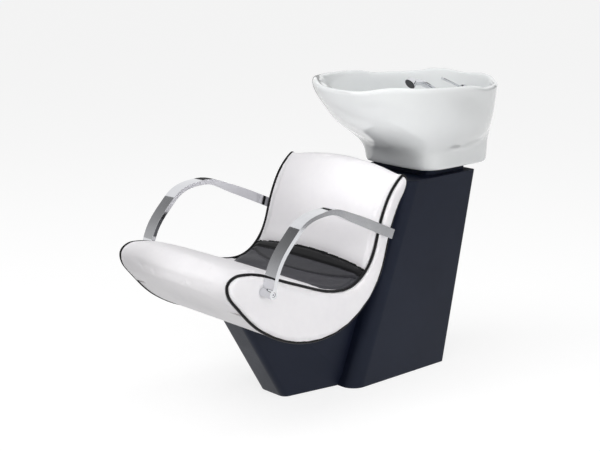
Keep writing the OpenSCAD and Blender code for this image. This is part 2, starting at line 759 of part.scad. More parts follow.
ear_x = 100;
ear_half = 24;
bush_d = pivot_d + 2 * bush_t;
module bracket_bolt_places() {
  for (sx = [-1, 1], sy = [-1, 1]) translate([sx * (ear_x - 38), pivot_y + sy * 30, 0]) children();
}
module tilt_bracket() {
  color("dimgray") difference() {
    union() {
      mirrored_pair() along_x(ear_x, ear_x + bracket_t) polygon(ear_outline());
      translate([-ear_x - bracket_t, pivot_y - ear_half - 24, frame_top])
        cube([2 * (ear_x + bracket_t), 2 * ear_half + 48, bracket_t]);
    }
    translate([0, drain_y, frame_top - 1]) cylinder(h = bracket_t + 2, d = tail_hole_d);
    translate([0, pivot_y, tilt_z]) rod_x(-ear_x - 20, ear_x + 20, bush_d);
    bracket_bolt_places() translate([0, 0, frame_top - 1]) cylinder(h = bracket_t + 2, d = 8.4);
  }
}
module bracket_bolts() {
  color("silver") bracket_bolt_places() {
    translate([0, 0, frame_top - top_plate_t - 9]) cylinder(h = top_plate_t + bracket_t + 9.5, d = 8);
    translate([0, 0, frame_top + bracket_t]) cylinder(h = 5.3, d = 15, $fn = 6);
    translate([0, 0, frame_top - top_plate_t - 6.5]) cylinder(h = 6.5, d = 15, $fn = 6);
  }
}
// Ear: a tapered plate with a round top about the pivot
function ear_outline() = concat(
  [[pivot_y - ear_half - 8, frame_top], [pivot_y + ear_half + 8, frame_top]],
  [for (a = [0 : 12 : 180]) [pivot_y + 16 * cos(a), tilt_z + 16 * sin(a)]]);
module pivot_bushes() {
  color("ivory") mirrored_pair() translate([0, pivot_y, tilt_z]) difference() {
    union() {
      rod_x(ear_x, ear_x + bracket_t + 1, bush_d);
      rod_x(ear_x - 2, ear_x, bush_d + 8);
    }
    rod_x(ear_x - 10, ear_x + 20, pivot_d + 2 * run_gap);
  }
}
module pivot_pins() {
  color("silver") mirrored_pair() translate([0, pivot_y, tilt_z]) {
    rod_x(lug_out_x - bracket_t - 4, ear_x + bracket_t + 3, pivot_d);
    rod_x(lug_out_x - bracket_t - 7, lug_out_x - bracket_t - run_gap, pivot_d + 8);
  }
}

// Basin carrier: a plate clamped under the bowl by the drain nut, with two pivot lugs

gasket_t = 3;
carrier_top = bowl_under - gasket_t;
carrier_t = 5;
carrier_l = 140;
lug_out_x = ear_x - 2 - 2;
module carrier_lug() {
  polygon(concat(
    [[pivot_y + 34, carrier_top], [pivot_y - 34, carrier_top]],
    [for (a = [180 : 12 : 360]) [pivot_y + 15 * cos(a), tilt_z + 15 * sin(a)]]));
}
pad_x = 72;
pad_y = 52;
module basin_carrier() {
  color("dimgray") difference() {
    union() {
      translate([-lug_out_x, drain_y - carrier_l / 2, carrier_top - carrier_t])
        cube([2 * lug_out_x, carrier_l, carrier_t]);
      mirrored_pair() along_x(lug_out_x - bracket_t, lug_out_x) carrier_lug();
    }
    translate([0, drain_y, carrier_top - 20]) cylinder(h = 40, d = thread_d + 1);
    translate([0, pivot_y, tilt_z]) rod_x(-ear_x, ear_x, pivot_d + 0.02);
  }
}
module carrier_pads() {
  color("#222226") for (sx = [-1, 1], sy = [-1, 1])
    translate([sx * pad_x, drain_y + sy * pad_y, carrier_top])
      cylinder(h = bowl_under - carrier_top - 0.2, d = 22);
}

// Basin: one ceramic loft. Each section runs from the rolled rim down the outer wall to
// the foot, up inside the foot, under the bowl to the drain, and up the bowl to the rim.

basin_front = basin_rear - basin_l;
foot_h = column_h + foot_gap;
rim_roll = 22;
rim_p = 2.15;
foot_p = 5;
// The plan is fuller at its rear corners than at the neck
rear_fuller = 0.35;
function fullness(p, s) = s > 0 ? p + rear_fuller : p;
foot_wall = 12;
// Value at t in a table of [t, value], eased between the entries
function ease(table, t, i = 0) = i > len(table) - 3 || t <= table[i + 1][0]
  ? mix(table[i][1], table[i + 1][1], smooth((t - table[i][0]) / (table[i + 1][0] - table[i][0])))
  : ease(table, t, i + 1);
// The same with straight lines between the entries
function look(table, t, i = 0) = i > len(table) - 3 || t <= table[i + 1][0]
  ? mix(table[i][1], table[i + 1][1], clamp01((t - table[i][0]) / (table[i + 1][0] - table[i][0])))
  : look(table, t, i + 1);
// Height of the rim over rim_h, by the angle from the neck
rim_wave = [[0, -8], [12, -6], [42, 12], [60, 8], [84, 5], [95, 2], [107, -12], [132, -12],
  [146, -8], [156, 2], [167, 3], [181, -4]];
function rim_z(tau) = rim_h + ease(rim_wave, acos(max(-1, min(1, -sin(tau)))));
// Point of a rounded plan between two ends, at the section angle tau
function plan_point(y0, y1, half, p, tau) = let(e = 2 / fullness(p, sin(tau))) [
  half * signed_pow(cos(tau), e), mix(y0, y1, 0.5) + (y1 - y0) / 2 * signed_pow(sin(tau), e)];
function scooped(q, amount) = q[1] > drain_y ? q : [q[0], q[1] + amount * exp(-pow(q[0] / 78, 2))];

// Distance from the drain axis to a rounded plan, along the unit vector d
function plan_far(y0, y1, half, p, d, lo, hi, n) = n == 0 ? (lo + hi) / 2
  : let(r = (lo + hi) / 2, x = r * d[0], y = drain_y + r * d[1] - (y0 + y1) / 2, e = fullness(p, y),
      f = pow(abs(x) / half, e) + pow(abs(y) * 2 / (y1 - y0), e))
    f > 1 ? plan_far(y0, y1, half, p, d, lo, r, n - 1) : plan_far(y0, y1, half, p, d, r, hi, n - 1);
// Outer wall at the fraction t of its height, from the rim to the foot, is the fuller of
// a prow that runs from the neck into the foot and a bowl that bulges past it
prow = [[0, 1], [0.05, 0.86], [0.23, 0.66], [0.39, 0.52], [0.53, 0.365], [0.63, 0.22],
  [0.725, 0.112], [0.87, 0.03], [1, 0]];
function prow_front(t) = mix(foot_front, basin_front, look(prow, t));
function prow_far(d, t) = plan_far(prow_front(t), mix(basin_rear, foot_rear, t),
  mix(basin_w, foot_w, smooth(t / 0.32)) / 2, mix(rim_p, foot_p, smooth(t / 0.6)), d, 0, basin_l, 14);
bulge_end = (rim_h - bowl_under + 40) / (rim_h - foot_h);
function bulge_far(d, t) = t >= bulge_end ? 0
  : let(g = pow(1 - pow(t / bulge_end, 2.5), 0.4), b = basin_l / 2 * pow(g, 1.6),
      y = mix(basin_rear - basin_l / 2, drain_y + 16, smooth(t / bulge_end / 0.7)))
    b < 20 ? 0 : plan_far(y - b, min(y + b, mix(basin_rear, foot_rear, t) - 8),
      basin_w / 2 * g, rim_p, d, 0, basin_l, 14);
// Unit vector from the drain axis to the rim
function spoke(tau) =
  let(q = plan_point(basin_front, basin_rear, basin_w / 2, rim_p, tau) - [0, drain_y]) q / norm(q);
// The two blend more softly in front, below the rim
function wall_point(tau, t) =
  let(d = spoke(tau), a = prow_far(d, t), b = bulge_far(d, t),
    k = mix(16, 6, smooth((t - 0.2) / 0.3) * smooth(0.5 - 1.5 * d[1])),
    r = mix(b, pow(pow(a, k) + pow(b, k), 1 / k), smooth(t / 0.3)),
    w = scooped([r * d[0], drain_y + r * d[1]], neck_scoop * (1 - smooth(2 * t))))
  [w[0], w[1], mix(rim_z(tau), foot_h, t)];

// Rolled rim, drawn in by d and dropped by z
function rim_point(tau, d, z) =
  let(q = scooped(plan_point(basin_front + d, basin_rear - d, basin_w / 2 - d, rim_p, tau), neck_scoop))
  [q[0], q[1], rim_z(tau) + z];

// Bowl: height at a point, from its level q between the middle, 0, and the rim, 1
bowl_p = 2.2;
bowl_mid = mix(basin_front, basin_rear, 0.55);
bowl_half = basin_w / 2 - rim_roll;
neck_rise = [[0, 0], [0.3, 0.02], [0.43, 0.2], [0.55, 0.37], [0.67, 0.57], [0.79, 0.8],
  [0.93, 0.965], [1, 1]];
side_p = 3.2;
function bowl_reach(s) = s > 0 ? basin_rear - rim_roll - bowl_mid : bowl_mid - basin_front - rim_roll;
function bowl_q(x, y) = let(s = y - bowl_mid, e = fullness(bowl_p, s))
  pow(pow(abs(x) / bowl_half, e) + pow(abs(s) / bowl_reach(s), e), 1 / e);
// Angle of a point from the neck, seen from the middle of the bowl
function bowl_angle(x, y) = atan2(abs(x), bowl_mid - y);
function bowl_rise(q, a) = let(c = min(q, 1))
  mix(look(neck_rise, c), 1 - pow(1 - pow(c, side_p), 1 / side_p), smooth((a - 25) / 55));
ledge_z = rim_h - ledge_drop;
// The tap ledge fills the bowl behind the drain
function ledge_share(q, a) = smooth((q - 0.58) / 0.09) * smooth((a - 133) / 20);
function bowl_z(x, y, top) =
  let(q = bowl_q(x, y), a = bowl_angle(x, y), z = mix(bowl_floor, top, bowl_rise(q, a)))
  mix(z, max(z, ledge_z), ledge_share(q, a));
function bowl_point(tau, q) =
  let(e = 2 / fullness(bowl_p, sin(tau)), c = signed_pow(cos(tau), e), s = signed_pow(sin(tau), e),
    mid = mix(drain_y, bowl_mid, smooth(q / 0.6)),
    w = scooped([q * bowl_half * c, mid + q * (s > 0 ? basin_rear - rim_roll - mid
      : mid - basin_front - rim_roll) * s], neck_scoop * smooth((q - 0.5) / 0.5)))
  [w[0], w[1], bowl_z(w[0], w[1], rim_z(tau) - 8)];

// Underside, one wall below the bowl, and the inner face of the foot
function under_z(x, y) = -ceramic_t + min([for (d = [-10, 0, 10])
  bowl_z(x, y + d, rim_h - 8)]);
function inner_far(d) = plan_far(foot_front + foot_wall, foot_rear - foot_wall, foot_w / 2 - foot_wall,
  foot_p, d, 0, basin_l, 14);
function drain_point(tau, r, z) = let(d = spoke(tau)) [r * d[0], drain_y + r * d[1], z];
function under_point(tau, s) =
  let(q = drain_point(tau, mix(drain_hole_d / 2, inner_far(spoke(tau)) - 3, s), 0))
  [q[0], q[1], under_z(q[0], q[1])];
function inner_foot(tau, rise) =
  drain_point(tau, inner_far(spoke(tau)), mix(foot_h, under_point(tau, 1)[2], rise));

outer_steps = [0.06, 0.14, 0.24, 0.35, 0.45, 0.55, 0.65, 0.73, 0.79, 0.85, 0.92, 1];
under_steps = [1, 0.88, 0.76, 0.66, 0.56, 0.46, 0.25, 0];
bowl_steps = [0.28, 0.36, 0.47, 0.57, 0.61, 0.64, 0.67, 0.74, 0.81, 0.88, 0.93, 0.965, 0.985];
recess_d = flange_d + 4;
recess_h = 3;
function basin_section(tau) = concat(
  [rim_point(tau, 15, -1), rim_point(tau, 8, 0), rim_point(tau, 2.5, -4), rim_point(tau, 0, -11)],
  [for (t = outer_steps) wall_point(tau, t)],
  [inner_foot(tau, 0), inner_foot(tau, 0.6)],
  [for (s = under_steps) under_point(tau, s)],
  [drain_point(tau, drain_hole_d / 2, bowl_floor - recess_h),
    drain_point(tau, recess_d / 2, bowl_floor - recess_h),
    drain_point(tau, recess_d / 2 + 1, bowl_floor)],
  [for (q = bowl_steps) bowl_point(tau, q)],
  [rim_point(tau, rim_roll - 1, -8)]);
basin_sides = 64;
module basin() {
  sections = [for (i = [0 : basin_sides - 1]) basin_section(360 * i / basin_sides)];
  color("white") difference() {
    polyhedron(points = [for (s = sections) each s],
      faces = loop_faces(basin_sides, len(sections[0])));
    translate([mixer_x, tap_y, ledge_z - 40]) cylinder(h = 60, d = shank_d + 2);
    translate([-shower_x, tap_y, ledge_z - 40]) cylinder(h = 60, d = socket_d + 2);
  }
}
tap_y = basin_rear - 70;

// Drain

drain_floor = bowl_floor - recess_h;
module drain_gasket() {
  color("#222226") {
    translate([0, drain_y, drain_floor]) tube(1.5, flange_d - 6, drain_hole_d);
    translate([0, drain_y, carrier_top]) tube(gasket_t, flange_d, drain_hole_d);
  }
}
nut_h = 12;
thread_d = tail_d + 1;
tail_end = carrier_top - carrier_t - nut_h - tail_free;
module drain_flange() {
  color("gainsboro") translate([0, drain_y, 0]) difference() {
    union() {
      translate([0, 0, tail_end]) cylinder(h = tail_free, d = tail_d);
      translate([0, 0, tail_end + tail_free]) cylinder(h = drain_floor - tail_end - tail_free, d = thread_d);
      translate([0, 0, drain_floor + 1.5]) cylinder(h = 2.5, d1 = flange_d, d2 = flange_d - 4);
      translate([0, 0, drain_floor - 6]) cylinder(h = 8, d = drain_hole_d - 2);
    }
    translate([0, 0, tail_end - 1]) cylinder(h = drain_floor - tail_end, d = tail_d - 5);
    translate([0, 0, drain_floor - 3]) cylinder(h = 20, d = strainer_d + 1);
  }
}
strainer_d = 44;
module drain_nut() {
  color("silver") translate([0, drain_y, carrier_top - carrier_t - nut_h]) difference() {
    cylinder(h = nut_h, d = 66, $fn = 8);
    translate([0, 0, -1]) cylinder(h = nut_h + 2, d = thread_d + 0.1);
  }
}
// Lift-out strainer: a perforated cup with a knob
module hair_strainer() {
  color("silver") translate([0, drain_y, drain_floor - 3 + 0.02]) difference() {
    union() {
      cylinder(h = 2, d = strainer_d);
      translate([0, 0, 1]) tube(5.2, strainer_d, strainer_d - 3);
      translate([0, 0, 1]) cylinder(h = 9, d = 6);
      translate([0, 0, 8]) cylinder(h = 4, d1 = 6, d2 = 12);
    }
    for (a = [0 : 45 : 315]) rotate(a) translate([14, 0, -1]) cylinder(h = 4, d = 6);
    for (a = [22.5 : 90 : 300]) rotate(a) translate([7, 0, -1]) cylinder(h = 4, d = 3.2);
  }
}

// Mixer

module at_mixer(z) {
  translate([mixer_x, tap_y, z]) children();
}
module mixer_body() {
  color("gainsboro") difference() {
    union() {
      at_mixer(ledge_z + 0.05) cylinder(h = 5, d1 = mixer_d + 12, d2 = mixer_d + 8);
      at_mixer(ledge_z + 0.05) cylinder(h = mixer_h, d = mixer_d);
      at_mixer(ledge_z - 44) cylinder(h = 50, d = shank_d);
    }
    for (sx = [-1, 1]) at_inlet(sx, -45) cylinder(h = 21, d = 10);
  }
}
tap_nut_gap = 2.6;
// Lowest underside of the tap ledge within r of a tap at x
function nut_seat(x, r) = min([for (dx = [-r, 0, r], dy = [-r, 0, r]) under_z(x + dx, tap_y + dy)]);
module mixer_nut() {
  color("silver") at_mixer(nut_seat(mixer_x, shank_d / 2 + 5) - 10 - tap_nut_gap) difference() {
    cylinder(h = 10, d = shank_d + 10, $fn = 6);
    translate([0, 0, -1]) cylinder(h = 12, d = shank_d + 0.1);
  }
}
// Copper inlet tails with threaded ends, hot and cold
tail_l = 72;
nipple_l = 12;
module at_inlet(side, z) {
  translate([mixer_x + side * (shank_d / 2 - 6.5), tap_y, ledge_z + z]) children();
}
module inlet_tails() {
  color("#b87333") for (side = [-1, 1]) {
    at_inlet(side, -25 - tail_l) tube(tail_l, 9.9, 7);
    at_inlet(side, -25 - tail_l - nipple_l + 1) tube(nipple_l, nipple_d, 7);
  }
}
cap_h = 16;
trunnion_d = 4;
trunnion_l = 30;
module mixer_cap() {
  color("gainsboro") difference() {
    at_mixer(ledge_z + mixer_h + 0.35) rotate_extrude() polygon(concat(
      [[0, 0], [mixer_d / 2 - 0.5, 0]],
      [for (a = [0 : 9 : 90]) [(mixer_d / 2 - 0.5) * cos(a), cap_h * sin(a) + 4]]));
    translate([mixer_x - lever_w / 2 - 0.6, tap_y - mixer_d, lever_pivot_z - 3.8])
      cube([lever_w + 1.2, mixer_d + 8, cap_h + 10]);
    translate([mixer_x, tap_y, lever_pivot_z])
      rod_x(-trunnion_l / 2 - 0.4, trunnion_l / 2 + 0.4, trunnion_d + 2 * run_gap);
  }
}
lever_pivot_z = ledge_z + mixer_h + 10;
lever_w = 12;
lever_rise = 22;
module mixer_lever() {
  color("gainsboro") translate([mixer_x, tap_y, lever_pivot_z]) {
    rod_x(-lever_w / 2, lever_w / 2, 6.4);
    rod_x(-trunnion_l / 2, trunnion_l / 2, trunnion_d);
    along_x(-lever_w / 2, lever_w / 2) polygon([
      [0, -3], [2, 2], [-22, 11.4], [-27, 10.4], [-26, 5], [-20, 4.2]]);
    translate([0, -23, 8]) rotate([90 - lever_rise, 0, 0]) {
      cylinder(h = lever_l - 25, d1 = 7, d2 = 9);
      translate([0, 0, lever_l - 25]) sphere(d = 10);
    }
  }
}

// Hand shower, leaning forwards in its socket

module at_socket(z) {
  translate([-shower_x, tap_y, z]) children();
}
// Elbow of the socket, with Z along the hand shower
elbow_h = 10;
shower_lean = 64;
module on_elbow() {
  at_socket(ledge_z + elbow_h) rotate([shower_lean, 0, 0]) children();
}
cup_l = 32;
module shower_socket() {
  color("gainsboro") difference() {
    union() {
      at_socket(ledge_z + 0.05) cylinder(h = 4, d1 = socket_d + 14, d2 = socket_d + 10);
      at_socket(ledge_z - 34) cylinder(h = 34 + elbow_h, d = socket_d);
      on_elbow() sphere(d = socket_d + 1);
      on_elbow() cylinder(h = cup_l, d = socket_d);
    }
    at_socket(ledge_z - 36) cylinder(h = 36 + elbow_h, d = stem_d - 4);
    on_elbow() cylinder(h = cup_l + 1, d = stem_d + 1);
  }
}
module socket_nut() {
  color("silver") at_socket(nut_seat(-shower_x, socket_d / 2 + 5) - 8 - tap_nut_gap) difference() {
    cylinder(h = 8, d = socket_d + 10, $fn = 6);
    translate([0, 0, -1]) cylinder(h = 10, d = socket_d + 0.1);
  }
}
// The handle bends down to its spray head
stem_in = 22;
handle_l = 76;
bend_r = 70;
bend_a = 22;
neck_l = 20;
head_h = 17;
head_turn = 38;
module on_head() {
  on_elbow() translate([0, -bend_r, cup_l + handle_l]) rotate([bend_a, 0, 0])
    translate([0, bend_r, neck_l + head_d / 2 - 6]) rotate([head_turn, 0, 0]) children();
}
module hand_shower() {
  color("gainsboro") {
    on_elbow() {
      translate([0, 0, cup_l - stem_in]) cylinder(h = stem_in + 1, d = stem_d);
      translate([0, 0, cup_l + 0.3]) cylinder(h = 4, d = stem_d + 6);
      translate([0, 0, cup_l + 4]) cylinder(h = handle_l - 3.5, d1 = stem_d - 1, d2 = stem_d + 3);
      translate([0, -bend_r, cup_l + handle_l]) rotate([90, 0, 90])
        rotate_extrude(angle = bend_a) translate([bend_r, 0]) circle(d = stem_d + 2.5);
    }
    on_elbow() translate([0, -bend_r, cup_l + handle_l]) rotate([bend_a, 0, 0])
      translate([0, bend_r, -0.5]) cylinder(h = neck_l + head_d / 2 - 5.5, d1 = stem_d + 3, d2 = stem_d);
    on_head() translate([0, 0, -head_h / 2]) cylinder(h = head_h, d1 = head_d - 12, d2 = head_d);
  }
}
module spray_plate() {
  color("#2a2a2e") on_head() translate([0, 0, head_h / 2 + 0.01])
    cylinder(h = 1.6, d1 = head_d - 4, d2 = head_d - 8);
}

floor_plate();
column_frame();
seat_cradle();
cradle_bolts();
front_cover();
column_cover();
access_panel();
access_screws();
seat_board();
under_skin();
seat_cushion();
crook_insert();
back_cushion();
side_panel_left();
side_panel_right();
piping_left();
piping_right();
arm_left();
arm_right();
arm_foot_bolts();
arm_rear_spacers();
arm_rear_bolts();
tilt_bracket();
bracket_bolts();
pivot_bushes();
pivot_pins();
basin_carrier();
carrier_pads();
basin();
drain_gasket();
drain_flange();
drain_nut();
hair_strainer();
mixer_body();
mixer_nut();
inlet_tails();
mixer_cap();
mixer_lever();
shower_socket();
socket_nut();
hand_shower();
spray_plate();
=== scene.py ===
"""Looks of a salon wash unit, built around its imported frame.

A padded seat with chrome arms stands on a moulded base, and a glazed basin with a mixer and
a hand shower tilts on the column behind it. Everything is in metres, in the frame's axes:
+Z is up, the sitter faces -Y, and +X is the sitter's left.
"""

import json
import logging
import math
from dataclasses import dataclass, field
from enum import Enum
from typing import Optional

import bmesh
import bpy
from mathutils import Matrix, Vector, noise
from mathutils.bvhtree import BVHTree
from mathutils.kdtree import KDTree

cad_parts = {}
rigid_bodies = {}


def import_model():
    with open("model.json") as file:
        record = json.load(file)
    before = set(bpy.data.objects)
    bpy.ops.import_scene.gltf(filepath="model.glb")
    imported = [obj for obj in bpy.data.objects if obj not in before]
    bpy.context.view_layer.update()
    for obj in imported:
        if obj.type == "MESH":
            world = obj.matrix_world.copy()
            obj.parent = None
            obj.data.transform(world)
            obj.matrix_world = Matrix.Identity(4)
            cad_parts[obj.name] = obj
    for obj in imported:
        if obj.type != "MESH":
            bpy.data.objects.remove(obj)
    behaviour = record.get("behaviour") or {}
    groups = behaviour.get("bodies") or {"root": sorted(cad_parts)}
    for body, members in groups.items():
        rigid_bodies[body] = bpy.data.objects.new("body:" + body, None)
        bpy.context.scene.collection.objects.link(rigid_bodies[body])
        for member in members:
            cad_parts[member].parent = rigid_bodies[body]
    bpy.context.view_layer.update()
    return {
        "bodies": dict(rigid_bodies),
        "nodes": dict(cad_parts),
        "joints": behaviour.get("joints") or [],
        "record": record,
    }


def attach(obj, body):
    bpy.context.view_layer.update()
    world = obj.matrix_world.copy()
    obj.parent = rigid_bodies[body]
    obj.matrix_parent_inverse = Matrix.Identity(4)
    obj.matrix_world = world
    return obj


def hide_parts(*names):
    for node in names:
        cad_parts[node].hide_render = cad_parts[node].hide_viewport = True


LOG = logging.getLogger("wash_unit")
MM = 0.001
WELD = 0.004 * MM
JOIN_FACES = math.radians(60)
JOIN_SHAPES = math.radians(75)
# Name of the point attribute that holds the insert's painted shade.
SHADE = "fold_shade"
WHITE = (1.0, 1.0, 1.0, 1.0)
PIPING = ("piping_left", "piping_right")
Colour = tuple[float, float, float]
Point = tuple[float, float, float]


class Relief(Enum):
    """Kinds of fine surface relief."""

    GRAIN = "vinyl_grain"
    STIPPLE = "moulded_stipple"
    POLISH = "polish_waves"
    BRUSH = "brushed_lines"
    PLY = "wood_figure"


def linear(rgb: Colour) -> tuple[float, float, float, float]:
    """Turns a colour from 0 to 255 as seen on screen into linear light, by the sRGB curve.

    Args:
        rgb: Red, green and blue from 0 to 255.

    Returns:
        The linear colour with an alpha of 1.
    """
    parts = []
    for value in rgb:
        c = value / 255
        parts.append(c / 12.92 if c <= 0.04045 else ((c + 0.055) / 1.055) ** 2.4)
    return (*parts, 1.0)


def placed(name: str, data: bpy.types.ID) -> bpy.types.Object:
    """Adds an object to the scene.

    Args:
        name: Name of the object.
        data: Its mesh, lamp or camera.

    Returns:
        The new object.
    """
    thing = bpy.data.objects.new(name, data)
    bpy.context.scene.collection.objects.link(thing)
    return thing


def meshed(shape: bmesh.types.BMesh, name: str) -> bpy.types.Object:
    """Turns a shape into an object of the scene.

    Args:
        shape: The shape, which is used up.
        name: Name of the object and of its mesh.

    Returns:
        The new object.
    """
    mesh = bpy.data.meshes.new(name)
    shape.to_mesh(mesh)
    shape.free()
    return placed(name, mesh)


class NodeKit:
    """Adds and joins shader nodes in one tree."""

    def __init__(self, tree: bpy.types.NodeTree) -> None:
        """Starts on an empty tree.

        Args:
            tree: The tree of a material, a world or a group.
        """
        self.tree = tree
        self.tree.nodes.clear()

    def add(self, kind: str, settings: Optional[dict] = None,
            **inputs: object) -> bpy.types.Node:
        """Adds a node, sets its properties, and sets or joins its inputs.

        Args:
            kind: Type of the node without its ShaderNode prefix.
            settings: Properties of the node by name.
            inputs: Values or output sockets by input name, with underscores for spaces, or
                by i and the input's number.

        Returns:
            The new node.
        """
        node = self.tree.nodes.new("ShaderNode" + kind)
        for key, value in (settings or {}).items():
            setattr(node, key, value)
        for key, value in inputs.items():
            self.feed(node, key.replace("_", " "), value)
        return node

    def feed(self, node: bpy.types.Node, key: str, value: object) -> None:
        """Joins an output to an input, or sets the input's value.

        Args:
            node: The node that takes the value.
            key: Name of the input, or i and its number.
            value: An output socket or a plain value.
        """
        numbered = key[0] == "i" and key[1:].isdigit()
        socket = node.inputs[int(key[1:]) if numbered else key]
        if isinstance(value, bpy.types.NodeSocket):
            self.tree.links.new(value, socket)
        else:
            socket.default_value = value

    def math(self, operation: str, a: object, b: object = 0.0) -> bpy.types.NodeSocket:
        """Adds a Math node on one or two values and returns its output."""
        return self.add("Math", {"operation": operation}, i0=a, i1=b).outputs[0]

    def span(self, value: object, low: object, high: object, to_low: object = 0.0,
             to_high: object = 1.0) -> bpy.types.NodeSocket:
        """Adds a clamped Map Range node and returns its output."""
        return self.add("MapRange", Value=value, From_Min=low, From_Max=high, To_Min=to_low,
                        To_Max=to_high).outputs[0]

    def noise(self, place: object, scale: object, **inputs: float) -> bpy.types.Node:
        """Adds a noise texture at a place and returns its node."""
        return self.add("TexNoise", Vector=place, Scale=scale, **inputs)

    def blend(self, first: object, share: float, second: object,
              other: float) -> bpy.types.NodeSocket:
        """Adds two values by their shares and returns the sum."""
        return self.math("ADD", self.math("MULTIPLY", first, share),
                         self.math("MULTIPLY", second, other))

    def mix(self, share: object, first: object, second: object) -> bpy.types.NodeSocket:
        """Mixes two colours and returns the result."""
        return self.add("Mix", {"data_type": "RGBA"}, i0=share, i6=first, i7=second).outputs[2]

    def seen(self) -> bpy.types.NodeSocket:
        """Returns 1 for what the camera or a mirror sees, and 0 for what only lights."""
        path = self.add("LightPath")
        return self.math("MAXIMUM", path.outputs["Is Camera Ray"],
                         path.outputs["Is Glossy Ray"])

    def show(self, shader: bpy.types.Node, kind: str = "OutputMaterial") -> None:
        """Joins a shader to a new output node of a kind."""
        self.add(kind, Surface=shader.outputs[0])


def new_material(name: str) -> tuple[bpy.types.Material, NodeKit]:
    """Starts a material with an empty tree.

    Args:
        name: Name of the material.
    """
    material = bpy.data.materials.new(name)
    material.use_nodes = True
    return material, NodeKit(material.node_tree)


def new_group(name: str, takes: dict[str, str],
              gives: dict[str, str]) -> tuple[NodeKit, bpy.types.Node, bpy.types.Node]:
    """Starts a shader node group with named sockets.

    Args:
        name: Name of the group.
        takes: Socket types of the inputs by name.
        gives: Socket types of the outputs by name.
    """
    tree = bpy.data.node_groups.new(name, "ShaderNodeTree")
    for way, sockets in (("INPUT", takes), ("OUTPUT", gives)):
        for key, kind in sockets.items():
            tree.interface.new_socket(key, in_out=way, socket_type="NodeSocket" + kind)
    kit = NodeKit(tree)
    return kit, tree.nodes.new("NodeGroupInput"), tree.nodes.new("NodeGroupOutput")


